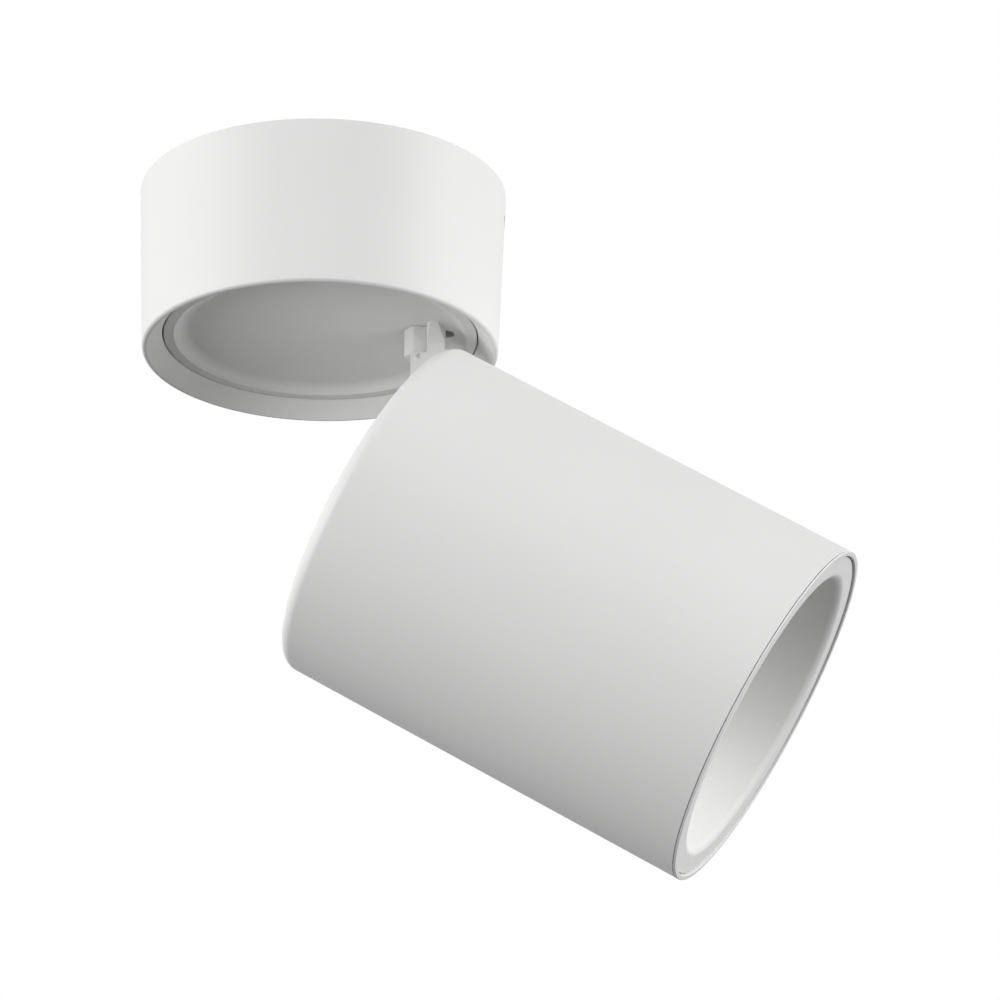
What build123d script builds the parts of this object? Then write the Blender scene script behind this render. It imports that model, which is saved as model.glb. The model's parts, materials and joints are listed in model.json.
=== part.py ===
from build123d import *
from math import cos, radians, sin, sqrt
import os

# Surface mounted ceiling spotlight. A round drum sits on the ceiling, a turntable dish is sunk
# into its underside, and a cylindrical head folds out of line with the drum on a small cast arm.
#
# Millimetres and degrees. The origin is the centre of the ceiling face, +Z points up into the
# ceiling, and the head tilts towards +X about an axis along Y.

os.makedirs("parts", exist_ok=True)

# ---------------------------------------------------------------- driving dimensions

# drum on the ceiling
base_radius = 50.0  # outside, at the ceiling
base_draught = 1.6  # less at the lower rim
base_height = 46.8
base_wall = 3.0
rim_land = 1.3  # flat ring between the outer edge and the bevel
rim_round = 1.0
bevel_width = 4.1  # sloped band inside the rim, measured across
bevel_depth = 4.4  # and upwards
pocket_depth = 7.9  # cylindrical pocket above the bevel
partition = 3.0  # floor between the pocket and the wiring space
edge_break = 0.3  # small rounding of cast edges
fine_break = 0.2
pocket_round = 0.5
root_round = 1.5  # inner corners of the castings

# ceiling bracket and its screws
bracket_width = 24.0
bracket_sheet = 1.5
bracket_bend = 2.0  # outside radius
bracket_gap = 1.0  # between the ears' corners and the drum's wall
ear_drop = 13.0
ear_hole_drop = 8.0  # side screws below the ceiling
cable_hole_radius = 8.0
slot_spacing = 60.0
slot_width = 4.6
slot_length = 14.0
side_screw_radius = 2.0
side_screw_length = 8.0
side_screw_inset = 0.6  # its outer end lies below the drum's surface
side_screw_socket = 1.1
thread_gap = 0.05  # between a screw and its tapped hole
earth_x = 15.5
earth_head_radius = 3.6
earth_screw_reach = 1.35  # into the bracket
earth_tag_radius = 4.2
earth_tag_sheet = 0.8
earth_barrel_radius = 1.8
earth_barrel_start = 5.0
earth_barrel_end = 11.0

# turntable
dish_gap = 0.4  # ring gap between the dish and the pocket
lip_width = 2.8
dish_depth = 2.1  # from the lip up to the dish's floor
dish_slope = 2.6  # width of the slope between them
dish_corner = 5.0  # soft inner corner
dish_floor = 2.4
skirt_wall = 2.0
skirt_gap = 0.6
hub_radius = 8.0
hub_bore_radius = 5.0
hub_clearance = 0.06
shoulder_radius = 12.0
lead_channel = 4.6
slip_thickness = 0.5
fibre_thickness = 1.0
spring_sheet = 0.7
spring_height = 1.5
washer_radius = 12.0
washer_thickness = 1.0
hub_nut_height = 5.0
hub_nut_flats = 22.0
hub_nut_chamfer = 0.6
hub_top_margin = 1.0
stop_inset = 4.6  # from the skirt in to the stop pin and the lug
stop_pin_radius = 1.5
stop_pin_reach = 1.9  # below the partition
stop_lug_width = 4.0
stop_lug_gap = 0.6  # from the lug's top to the partition
grommet_height = 4.0
grommet_wall = 1.8

# arm and hexagon
arm_reach = 15.8  # from the hexagon's axis out to the pivot
nut_flats = 7.0
nut_height = 8.0
nut_turn = 10.0
nut_chamfer = 0.3
arm_screw_radius = 2.0
arm_screw_head_radius = 4.0
arm_screw_bite = 5.0  # depth of thread in the ledge
drill_point = 0.5  # a tapped hole's depth past its screw
arm_thickness = 8.0
ledge_reach = 2.0  # from the nut's centre to the arm's left edge
web_near = 2.4  # from the nut's centre to the web
nut_relief = 0.1  # hollow in the web around the nut's corners
web_far = 7.2
knee_rise = 5.9  # where the web ends, above the pivot
neck_rise = 2.3
neck_run = 2.5
heel_rise = 2.0
heel_drop = 2.1
heel_run = 4.0
heel_round = 1.5
toe_run = 0.5
toe_drop = 3.3
arm_round = 2.0
ledge_round = 0.4
eye_radius = 3.4
groove_depth = 3.0
groove_width = 3.0
groove_offset = 5.8  # from the hexagon's axis
groove_rise = 1.5  # the groove's bend, above the pivot
groove_end = 4.8  # the groove's end, before the pivot
lead_hole_radius = 2.5
lead_hole_offset = 7.1  # from the hexagon's axis
lead_hole_inset = 1.6  # from the arm's far side
foot_run = 3.1  # web's foot on the dish, out in front of the arm
foot_rise = 5.1
foot_chamfer = 0.9

# hinge
fold_gap = 3.5  # between the rim and the rear face, with the head folded straight down
pivot_inset = 5.95  # from the head's outer surface in to the pivot
pivot_depth = 8.2  # from the rear face down to the pivot
tilt_in_photo = 60.3
pin_radius = 1.75
pin_clearance = 0.05
pin_fit = 0.02
friction_washer = 0.6
friction_washer_radius = 3.0
hinge_side_gap = 0.05
cheek_thickness = 3.0
cheek_length = 9.0  # from the pivot back along the rear wall
cheek_radius = 3.3
hinge_plate = 1.7
hinge_plate_width = 28.0
hinge_plate_bridge = 7.5
hinge_screw_inset = 3.2
hinge_screw_y = 10.8
hinge_screw_radius_run = 2.5  # from the cheek's end out to the outer screws
hinge_screw_bite = 3.2
hinge_fit = 0.3  # to the tube's wall
hinge_corner = 1.6  # cut off the plate's outer edge, clear of the corner inside the tube
rivet_radius = 2.4
rivet_height = 0.9
rivet_spring = 0.5

# head
head_length = 122.8
head_inset = 0.8  # the head's front edge lies inside the drum's upper edge by this
head_draught = 0.65  # less at the rear
head_round = 3.8
head_wall = 2.2
rear_wall = 4.0
slot_clearance = 0.6
slot_side_gap = 0.4
eye_relief = 0.5
boss_inset = 3.95  # from the bore in to a boss's axis
boss_radius = 4.4
boss_angles = (60.0, 180.0, 300.0)
boss_thread = 10.0

# front of the head
ring_flange = 0.5
parting_gap = 0.25  # fine line between the tube and the ring
ring_step = 2.4  # depth of the seat for ring and lip
ring_wall = 0.55
ring_inset = 0.85  # from the outside in to the ring's spigot
ring_fit = 0.05
ring_round = 0.2
lip_gap = 0.3
lip_recess = 0.6
lip_round = 2.6
lip_band = 6.9  # width of the lip
lip_break = 0.8  # behind the lip
cone_wall = 1.6
cone_small_radius = 19.0
cone_depth = 60.2  # from the lip to the diffuser
clip_angles = (0.0, 120.0, 240.0)
clip_sheet = 0.5
clip_width = 8.0
clip_inset = 3.4
clip_stem = 4.4
clip_bow = 9.9  # where the clip touches the tube, behind the lip
clip_length = 16.0
clip_touch = 0.1
clip_splay = 0.5

# light engine
sink_gap = 0.4
sink_plate = 4.0
fin_thickness = 2.0
fin_pitch = 7.0
fin_count = 9
fin_inset = 5.0  # from the leads' hole in to the fins' ends
fin_lead_gap = 3.0  # from the leads' turn to the fins
pad_margin = 0.5  # beyond the LED board, all round
pad_thickness = 0.3
led_size = 19.0
led_thickness = 1.3
emitter_radius = 7.0
emitter_height = 0.6
holder_radius = 20.0
holder_height = 4.0
holder_bore = 8.5
holder_screw_circle = 16.0
holder_screw_bite = 3.0
holder_chamfer = 0.8
led_pocket_gap = 0.2
cup_small_radius = 8.2
cup_large_radius = 18.8
cup_height = 8.0
cup_wall = 1.0
cup_flange = 13.0
cup_root = 1.4  # thickening where the flange meets the cup
diffuser_radius = 20.0
diffuser_thickness = 2.0
diffuser_gap = 0.1

# small screws
m3_radius = 1.5
m3_head_radius = 2.75
m3_head_height = 2.0
m3_clearance = 1.7
screw_crown = 0.4  # rounding of a pan head, as a share of its height
recess_width = 0.22  # cross recess, as shares of the head's radius and height
recess_depth = 0.5

# wiring
lead_radius = 0.6
lead_pair = 1.4  # centre distance of two thin leads
lead_bend = 3.0
hole_bend = 1.3  # where leads go over the edge of a hole
mains_radius = 1.1
mains_pair = 3.0
mains_bend = 5.0
mains_out = 6.0  # leads beside the driver
mains_margin = 4.0  # corner of their route, inside the drum's wall
mains_corner_angle = 233.0
mains_turn = 4.0  # where they straighten, before the terminals' front
mains_grip = 4.0  # length held in a terminal
lead_entry = 0.1  # hole around a lead in the driver's wall
output_margin = 3.9  # leads inside the drum's wall
output_lift = 8.0  # their bridge, above the hub
lead_float = 0.1  # leads above the surface that carries them
lead_tail = 1.0  # below the grommet
groove_bend = 1.0
head_lead_angle = -25.0
head_lead_inset = 6.35  # from the bore
head_lead_start = (24.0, 13.0)  # distance from the axis, distance from the rear face
head_lead_turn = 17.0
sink_lead_hole = 2.2

# driver and terminals
driver_x = 50.0
driver_z = 17.0
driver_wall = 1.5
driver_gap = 2.2  # to the hub's washer
driver_margin = 0.6  # to the drum's wall
driver_lid_sheet = 1.5
driver_screw_x = 14.0
board_rise = 3.0
board_sheet = 1.2
board_gap = 0.4
board_post = 1.6
transformer_size = (15.0, 13.0, 9.5)
transformer_notch = (10.0, 1.5, 6.0)
transformer_x = 11.5
capacitor_radius = 4.0
capacitor_height = 10.0
capacitor_x = (-17.0, -8.0)
terminal_x = 26.0
terminal_y = 16.0
terminal_z = 14.0
terminal_margin = 11.4  # from the block's rear to the drum's wall
terminal_pitch = 8.6
terminal_bore = 2.0
terminal_screw_radius = 1.8
terminal_screw_y = 4.5
terminal_screw_inset = 0.4
terminal_screw_gap = 1.0  # above the middle of the bore
terminal_slot = (5.4, 0.6, 0.9)  # screwdriver slot
terminal_head_radius = 2.0

# ---------------------------------------------------------------- levels and planes

base_bottom_radius = base_radius - base_draught
head_front_radius = base_radius - head_inset
head_rear_radius = head_front_radius - head_draught

rim_z = -base_height
bevel_z = rim_z + bevel_depth
partition_low = bevel_z + pocket_depth
partition_top = partition_low + partition
pocket_radius = base_bottom_radius - rim_land - bevel_width
chamber_radius = base_bottom_radius - base_wall

dish_radius = pocket_radius - dish_gap
stop_circle = dish_radius - skirt_wall - stop_inset
lip_radius = dish_radius - lip_width
dish_low = bevel_z + dish_depth
dish_top = dish_low + dish_floor
skirt_top = partition_low - skirt_gap
shoulder_top = partition_low - slip_thickness
fibre_top = partition_top + fibre_thickness
spring_top = fibre_top + spring_height
washer_top = spring_top + washer_thickness
hub_nut_top = washer_top + hub_nut_height
hub_top = hub_nut_top + hub_top_margin

pivot_x = head_rear_radius - pivot_inset
pivot_z = rim_z - fold_gap - pivot_depth
nut_x = pivot_x - arm_reach
lead_hole_x = nut_x + lead_hole_offset
groove_x = nut_x + groove_offset
ledge_z = dish_low - nut_height
arm_left = nut_x - ledge_reach
web_left = nut_x + web_near
web_right = nut_x + web_far
arm_half = arm_thickness / 2
lead_hole_y = arm_half - lead_hole_inset
lead_z = dish_top + lead_radius + lead_float
groove_y = arm_half - groove_depth / 2 + lead_float
cheek_inner = arm_half + friction_washer + 2 * hinge_side_gap
cheek_outer = cheek_inner + cheek_thickness

# The head turns about the pivot, which carries its rear centre from under the drum to this place.
tilt = radians(tilt_in_photo)
rear_x = pivot_x - pivot_x * cos(tilt) - pivot_depth * sin(tilt)
rear_z = pivot_z - pivot_x * sin(tilt) + pivot_depth * cos(tilt)
rear_centre = (rear_x, 0, rear_z)
across = (cos(tilt), 0, sin(tilt))  # from the head's axis towards the hinge
along = (sin(tilt), 0, -cos(tilt))  # from the rear face to the front
head = Plane(origin=rear_centre, x_dir=across, z_dir=along)
head_section = Plane(origin=rear_centre, x_dir=across, z_dir=(0, 1, 0))
head_axis = Axis(rear_centre, along)
pivot_plane = Plane(origin=(pivot_x, 0, pivot_z), x_dir=across, z_dir=(0, 1, 0))

tube_end = head_length - ring_flange - parting_gap
seat_z = head_length - ring_step
ring_bore = head_front_radius - ring_inset - ring_wall
lip_face = head_length - lip_recess
lip_edge = ring_bore - lip_gap
aperture_radius = lip_edge - lip_band
diffuser_front = lip_face - cone_depth
diffuser_rear = diffuser_front - diffuser_thickness
cup_rear = diffuser_rear - cup_height
plate_front = cup_rear - holder_height
plate_rear = plate_front - sink_plate
front_bore = head_front_radius - head_wall
rear_bore = head_rear_radius - head_wall
slot_start = arm_left - slot_clearance
hinge_screw_x = (slot_start - hinge_screw_inset, pivot_x - cheek_length + hinge_screw_radius_run)


def widen(rear, front, z):
    """Radius of a tapered surface of the head at the distance z from the rear face."""
    return rear + (front - rear) * z / head_length


# What fits in the tube takes the narrower end of the stretch that it lies in.
boss_circle = rear_bore - boss_inset
head_lead_circle = rear_bore - head_lead_inset
fin_circle = head_lead_circle - fin_inset
fin_length = plate_rear - head_lead_turn - fin_lead_gap
pad_size = led_size + 2 * pad_margin
sink_radius = min(widen(rear_bore, front_bore, plate_rear), widen(rear_bore, front_bore, plate_front))


def head_plane(radius, angle, z):
    """Plane across the head, at a radius and angle about its axis."""
    spot = (radius * cos(radians(angle)), radius * sin(radians(angle)), z)
    return Plane(origin=head.from_local_coords(spot), x_dir=across, z_dir=along)


def ring(outer, inner, low, high, plane=Plane.XY):
    """Flat ring between two heights above a plane."""
    with BuildPart() as made:
        with BuildSketch(plane.offset(low)):
            Circle(outer)
            Circle(inner, mode=Mode.SUBTRACT)
        extrude(amount=high - low)
    return made.part


def screw(plane, length, radius=m3_radius, head_radius=m3_head_radius, height=m3_head_height):
    """Pan head screw with a cross recess: its head stands on the plane, its shank goes below."""
    with BuildPart() as made:
        with BuildSketch(plane):
            Circle(head_radius)
        extrude(amount=height)
        fillet(made.faces().sort_by(Axis(plane.origin, plane.z_dir))[-1].edges(), height * screw_crown)
        with BuildSketch(plane):
            Circle(radius)
        extrude(amount=-length)
        with BuildSketch(plane.offset(height)):
            Rectangle(head_radius, head_radius * recess_width)
            Rectangle(head_radius * recess_width, head_radius)
        extrude(amount=-height * recess_depth, mode=Mode.SUBTRACT)
    return made.part


def lead(points, radius, bend):
    """Round lead along straight runs joined by tangent arcs."""
    with BuildPart() as made:
        with BuildLine() as route:
            FilletPolyline(*points, radius=bend)
        with BuildSketch(Plane(origin=route.line @ 0, z_dir=route.line % 0)):
            Circle(radius)
        sweep(path=route.line)
    return made.part


# ---------------------------------------------------------------- places on the partition

driver_near = washer_radius + driver_gap
driver_far = sqrt((chamber_radius - driver_margin) ** 2 - (driver_x / 2) ** 2)
driver_y = driver_far - driver_near
driver_mid = (driver_near + driver_far) / 2
board_x = driver_x - 2 * (driver_wall + board_gap)
board_y = driver_y - 2 * (driver_wall + board_gap)
board_z = partition_top + driver_wall + board_rise
board_top = board_z + board_sheet

rear_y = terminal_margin - chamber_radius
terminal_near = -rear_y - terminal_y
terminal_mid = rear_y + terminal_y / 2
terminal_top = partition_top + terminal_z
bore_z = partition_top + terminal_z / 2
pole_z = bore_z - terminal_bore + mains_radius + lead_float  # on the floor of the bores

# ---------------------------------------------------------------- drum, fixed to the ceiling

with BuildPart() as base_drum:
    with BuildSketch(Plane.XZ):
        with BuildLine():
            FilletPolyline(
                (base_radius - base_wall, 0),
                (base_radius, 0),
                (base_bottom_radius, rim_z),
                (base_bottom_radius - rim_land, rim_z),
                (pocket_radius, bevel_z),
                (pocket_radius, partition_low),
                (hub_radius + hub_clearance, partition_low),
                (hub_radius + hub_clearance, partition_top),
                (chamber_radius, partition_top),
                radius=[0, edge_break, rim_round, fine_break, edge_break, pocket_round, 0, 0, root_round],
                close=True,
            )
        make_face()
    revolve(axis=Axis.Z)
    with BuildSketch(Plane.YZ.offset(-base_radius - base_wall)):
        with Locations((0, -ear_hole_drop)):
            Circle(side_screw_radius + thread_gap)
    extrude(amount=2 * (base_radius + base_wall), mode=Mode.SUBTRACT)
    with BuildSketch(Plane.XY.offset(partition_low)):
        with Locations((0, stop_circle)):
            Circle(stop_pin_radius)
    extrude(amount=partition, mode=Mode.SUBTRACT)
    with BuildSketch(Plane.XY.offset(partition_top)):
        with Locations(
            (-driver_screw_x, driver_mid),
            (driver_screw_x, driver_mid),
            (terminal_pitch / 2, terminal_mid),
        ):
            Circle(m3_radius + thread_gap)
    extrude(amount=-partition * 0.8, mode=Mode.SUBTRACT)
base_drum.part.label = "base_drum"
export_step(base_drum.part, "parts/base_drum.step")

with BuildPart() as stop_pin:
    with BuildSketch(Plane.XY.offset(partition_low - stop_pin_reach)):
        with Locations((0, stop_circle)):
            Circle(stop_pin_radius)
    extrude(amount=stop_pin_reach + partition)
    fillet(stop_pin.faces().sort_by(Axis.Z)[0].edges(), stop_pin_radius * 0.2)
stop_pin.part.label = "stop_pin"
export_step(stop_pin.part, "parts/stop_pin.step")

# The bracket is a bar whose ears are turned down inside the drum.
ear_circle = min(chamber_radius, base_radius - base_wall) - bracket_gap
ear_outer = sqrt(ear_circle**2 - (bracket_width / 2) ** 2)
inner_bend = bracket_bend - bracket_sheet
with BuildPart() as ceiling_bracket:
    with BuildSketch(Plane.XZ.offset(-bracket_width / 2)):
        with BuildLine():
            FilletPolyline(
                (-ear_outer, 0),
                (ear_outer, 0),
                (ear_outer, -ear_drop),
                (ear_outer - bracket_sheet, -ear_drop),
                (ear_outer - bracket_sheet, -bracket_sheet),
                (bracket_sheet - ear_outer, -bracket_sheet),
                (bracket_sheet - ear_outer, -ear_drop),
                (-ear_outer, -ear_drop),
                radius=[bracket_bend, bracket_bend, 0, 0, inner_bend, inner_bend, 0, 0],
                close=True,
            )
        make_face()
    extrude(amount=bracket_width)
    with BuildSketch():
        Circle(cable_hole_radius)
        with Locations((-slot_spacing / 2, 0), (slot_spacing / 2, 0)):
            SlotOverall(slot_length, slot_width)
        with Locations((earth_x, 0)):
            Circle(side_screw_radius + thread_gap)
    extrude(amount=-bracket_sheet, mode=Mode.SUBTRACT)
    with BuildSketch(Plane.YZ.offset(-ear_outer)):
        with Locations((0, -ear_hole_drop)):
            Circle(side_screw_radius + thread_gap)
    extrude(amount=2 * ear_outer, mode=Mode.SUBTRACT)
ceiling_bracket.part.label = "ceiling_bracket"
export_step(ceiling_bracket.part, "parts/ceiling_bracket.step")

# Two headless screws go through the drum's wall and the ears.
skin_radius = base_radius - base_draught * ear_hole_drop / base_height
side_screw_end = skin_radius - side_screw_inset - side_screw_length
with BuildPart() as side_screws:
    for side in (-1, 1):
        inner = Plane(origin=(side * side_screw_end, 0, -ear_hole_drop), z_dir=(side, 0, 0))
        with BuildSketch(inner):
            Circle(side_screw_radius)
        extrude(amount=side_screw_length)
        with BuildSketch(inner.offset(side_screw_length)):
            RegularPolygon(side_screw_socket, 6)
        extrude(amount=-side_screw_length / 3, mode=Mode.SUBTRACT)
side_screws.part.label = "side_screws"
export_step(side_screws.part, "parts/side_screws.step")

tag_z = -bracket_sheet - earth_tag_sheet
with BuildPart() as earth_tag:
    with BuildSketch(Plane.XY.offset(tag_z)):
        with Locations((earth_x, 0)):
            Circle(earth_tag_radius)
        with Locations((earth_x, -earth_barrel_end / 2)):
            Rectangle(2 * earth_barrel_radius, earth_barrel_end)
        with Locations((earth_x, 0)):
            Circle(side_screw_radius + m3_clearance - m3_radius, mode=Mode.SUBTRACT)
    extrude(amount=earth_tag_sheet)
    barrel = Plane.XZ.offset(earth_barrel_start)
    with BuildSketch(barrel):
        with Locations((earth_x, -bracket_sheet - earth_barrel_radius)):
            Circle(earth_barrel_radius)
    extrude(amount=earth_barrel_end - earth_barrel_start)
earth_tag.part.label = "earth_tag"
export_step(earth_tag.part, "parts/earth_tag.step")

with BuildPart() as earth_screw:
    add(
        screw(
            Plane(origin=(earth_x, 0, tag_z), z_dir=(0, 0, -1)),
            earth_tag_sheet + earth_screw_reach,
            radius=side_screw_radius,
            head_radius=earth_head_radius,
        )
    )
earth_screw.part.label = "earth_screw"
export_step(earth_screw.part, "parts/earth_screw.step")

# ---------------------------------------------------------------- driver on the partition

with BuildPart() as driver_case:
    with BuildSketch(Plane.XY.offset(partition_top)):
        with Locations((0, driver_mid)):
            RectangleRounded(driver_x, driver_y, driver_wall)
    extrude(amount=driver_z)
    with BuildSketch(Plane.XY.offset(partition_top + driver_wall)):
        with Locations((0, driver_mid)):
            Rectangle(driver_x - 2 * driver_wall, driver_y - 2 * driver_wall)
    extrude(amount=driver_z, mode=Mode.SUBTRACT)
    with BuildSketch(Plane.XY.offset(partition_top + driver_wall)):
        with Locations((0, driver_mid)):
            with GridLocations(board_x - 2 * board_post, board_y - 2 * board_post, 2, 2):
                Circle(board_post)
    extrude(amount=board_rise)
    with BuildSketch(Plane.XY.offset(partition_top)):
        with Locations((-driver_screw_x, driver_mid), (driver_screw_x, driver_mid)):
            Circle(m3_clearance)
    extrude(amount=driver_wall, mode=Mode.SUBTRACT)
    with BuildSketch(Plane.YZ.offset(-driver_x / 2)):
        with Locations((driver_mid, pole_z), (driver_mid, pole_z + mains_pair)):
            Circle(mains_radius + lead_entry)
    extrude(amount=driver_wall, mode=Mode.SUBTRACT)
    with BuildSketch(Plane.YZ.offset(driver_x / 2)):
        for shift in (-lead_pair / 2, lead_pair / 2):
            with Locations((driver_mid + shift, hub_top + shift)):
                Circle(lead_radius + lead_entry)
    extrude(amount=-driver_wall, mode=Mode.SUBTRACT)
driver_case.part.label = "driver_case"
export_step(driver_case.part, "parts/driver_case.step")

with BuildPart() as driver_lid:
    with BuildSketch(Plane.XY.offset(partition_top + driver_z)):
        with Locations((0, driver_mid)):
            RectangleRounded(driver_x, driver_y, driver_wall)
    extrude(amount=driver_lid_sheet)
    fillet(driver_lid.faces().sort_by(Axis.Z)[-1].edges(), driver_lid_sheet * 0.4)
driver_lid.part.label = "driver_lid"
export_step(driver_lid.part, "parts/driver_lid.step")

with BuildPart() as driver_screws:
    for x in (-driver_screw_x, driver_screw_x):
        foot = Plane(origin=(x, driver_mid, partition_top + driver_wall))
        add(screw(foot, driver_wall + partition * 0.7))
driver_screws.part.label = "driver_screws"
export_step(driver_screws.part, "parts/driver_screws.step")

with BuildPart() as driver_board:
    with BuildSketch(Plane.XY.offset(board_z)):
        with Locations((0, driver_mid)):
            Rectangle(board_x, board_y)
    extrude(amount=board_sheet)
driver_board.part.label = "driver_board"
export_step(driver_board.part, "parts/driver_board.step")

with BuildPart() as driver_transformer:
    transformer_spot = Plane.XY.offset(board_top)
    width, depth, height = transformer_size
    notch_width, notch_depth, notch_height = transformer_notch
    with BuildSketch(transformer_spot):
        with Locations((transformer_x, driver_mid)):
            Rectangle(width, depth)
    extrude(amount=height)
    with BuildSketch(transformer_spot.offset((height - notch_height) / 2)):
        with Locations((transformer_x, driver_mid - depth / 2), (transformer_x, driver_mid + depth / 2)):
            Rectangle(notch_width, 2 * notch_depth)
    extrude(amount=notch_height, mode=Mode.SUBTRACT)
driver_transformer.part.label = "driver_transformer"
export_step(driver_transformer.part, "parts/driver_transformer.step")

with BuildPart() as driver_capacitors:
    with BuildSketch(Plane.XY.offset(board_top)):
        with Locations(*[(x, driver_mid) for x in capacitor_x]):
            Circle(capacitor_radius)
    extrude(amount=capacitor_height)
    fillet(driver_capacitors.edges().group_by(Axis.Z)[-1], capacitor_radius * 0.15)
driver_capacitors.part.label = "driver_capacitors"
export_step(driver_capacitors.part, "parts/driver_capacitors.step")

# ---------------------------------------------------------------- mains terminals

with BuildPart() as terminal_block:
    with BuildSketch(Plane.XY.offset(partition_top)):
        with Locations((0, terminal_mid)):
            Rectangle(terminal_x, terminal_y)
    extrude(amount=terminal_z)
    fillet(terminal_block.edges().filter_by(Axis.Z), 1)
    with BuildSketch(Plane.XZ.offset(terminal_near)):
        with Locations(*[(pole * terminal_pitch, bore_z) for pole in (-1, 0, 1)]):
            Circle(terminal_bore)
    extrude(amount=terminal_y, mode=Mode.SUBTRACT)
    with BuildSketch(Plane.XY.offset(terminal_top)):
        with Locations((0, terminal_mid)):
            with GridLocations(terminal_pitch, 2 * terminal_screw_y, 3, 2):
                Circle(terminal_screw_radius + thread_gap)
    extrude(amount=bore_z - terminal_top, mode=Mode.SUBTRACT)
    with BuildSketch(Plane.XY.offset(partition_top)):
        with Locations((terminal_pitch / 2, terminal_mid)):
            Circle(m3_clearance)
    extrude(amount=terminal_z, mode=Mode.SUBTRACT)
terminal_block.part.label = "terminal_block"
export_step(terminal_block.part, "parts/terminal_block.step")

screw_low = bore_z + terminal_screw_gap
slot_length_x, slot_width_y, slot_depth_z = terminal_slot
with BuildPart() as terminal_screws:
    with BuildSketch(Plane.XY.offset(screw_low)):
        with Locations((0, terminal_mid)):
            with GridLocations(terminal_pitch, 2 * terminal_screw_y, 3, 2):
                Circle(terminal_screw_radius)
    extrude(amount=terminal_top - terminal_screw_inset - screw_low)
    with BuildSketch(Plane.XY.offset(terminal_top - terminal_screw_inset)):
        with Locations((0, terminal_mid)):
            with GridLocations(terminal_pitch, 2 * terminal_screw_y, 3, 2):
                Rectangle(slot_length_x, slot_width_y)
    extrude(amount=-slot_depth_z, mode=Mode.SUBTRACT)
terminal_screws.part.label = "terminal_screws"
export_step(terminal_screws.part, "parts/terminal_screws.step")

with BuildPart() as terminal_fixing:
    top = Plane(origin=(terminal_pitch / 2, terminal_mid, terminal_top))
    add(screw(top, terminal_z + partition * 0.7, head_radius=terminal_head_radius))
terminal_fixing.part.label = "terminal_fixing"
export_step(terminal_fixing.part, "parts/terminal_fixing.step")

# ---------------------------------------------------------------- leads inside the drum

grip_y = rear_y + mains_grip
mains_side = -driver_x / 2 - mains_out
corner_reach = chamber_radius - mains_margin
mains_corner = (
    corner_reach * cos(radians(mains_corner_angle)),
    corner_reach * sin(radians(mains_corner_angle)),
)
mains_turn_y = mains_turn - terminal_near
with BuildPart() as mains_leads:
    add(
        lead(
            [
                (-terminal_pitch, grip_y, pole_z),
                (-terminal_pitch, rear_y - mains_bend, pole_z),
                (*mains_corner, pole_z),
                (mains_side, mains_turn_y, pole_z),
                (mains_side, driver_mid, pole_z),
                (-driver_x / 2 + driver_wall, driver_mid, pole_z),
            ],
            mains_radius,
            mains_bend,
        )
    )
    add(
        lead(
            [
                (0, grip_y, pole_z),
                (0, rear_y - mains_bend, pole_z),
                (-terminal_pitch + mains_pair, rear_y - 1.2 * mains_bend, pole_z + 2 * mains_pair),
                (*mains_corner, pole_z + mains_pair),
                (mains_side, mains_turn_y, pole_z + mains_pair),
                (mains_side, driver_mid, pole_z + mains_pair),
                (-driver_x / 2 + driver_wall, driver_mid, pole_z + mains_pair),
            ],
            mains_radius,
            mains_bend * 0.7,
        )
    )
mains_leads.part.label = "mains_leads"
export_step(mains_leads.part, "parts/mains_leads.step")

earth_z = -bracket_sheet - earth_barrel_radius
with BuildPart() as earth_lead:
    add(
        lead(
            [
                (earth_x, -earth_barrel_end, earth_z),
                (earth_x, rear_y - mains_bend, earth_z),
                (terminal_pitch, rear_y - mains_bend, pole_z),
                (terminal_pitch, grip_y, pole_z),
            ],
            mains_radius,
            mains_bend,
        )
    )
earth_lead.part.label = "earth_lead"
export_step(earth_lead.part, "parts/earth_lead.step")

# The driver's two output leads go over the hub's nut and down into the hub.
output_rise = hub_top + output_lift
output_side = sqrt(chamber_radius**2 - driver_mid**2) - output_margin
with BuildPart() as output_leads:
    for shift in (-lead_pair / 2, lead_pair / 2):
        add(
            lead(
                [
                    (driver_x / 2 - driver_wall, driver_mid + shift, hub_top + shift),
                    (output_side + shift, driver_mid + shift, hub_top + shift),
                    (output_side + shift, shift, output_rise + shift),
                    (shift, shift, output_rise + shift),
                    (shift, shift, hub_top - grommet_height / 2),
                ],
                lead_radius,
                lead_bend,
            )
        )
output_leads.part.label = "output_leads"
export_step(output_leads.part, "parts/output_leads.step")

# ---------------------------------------------------------------- turntable

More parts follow.
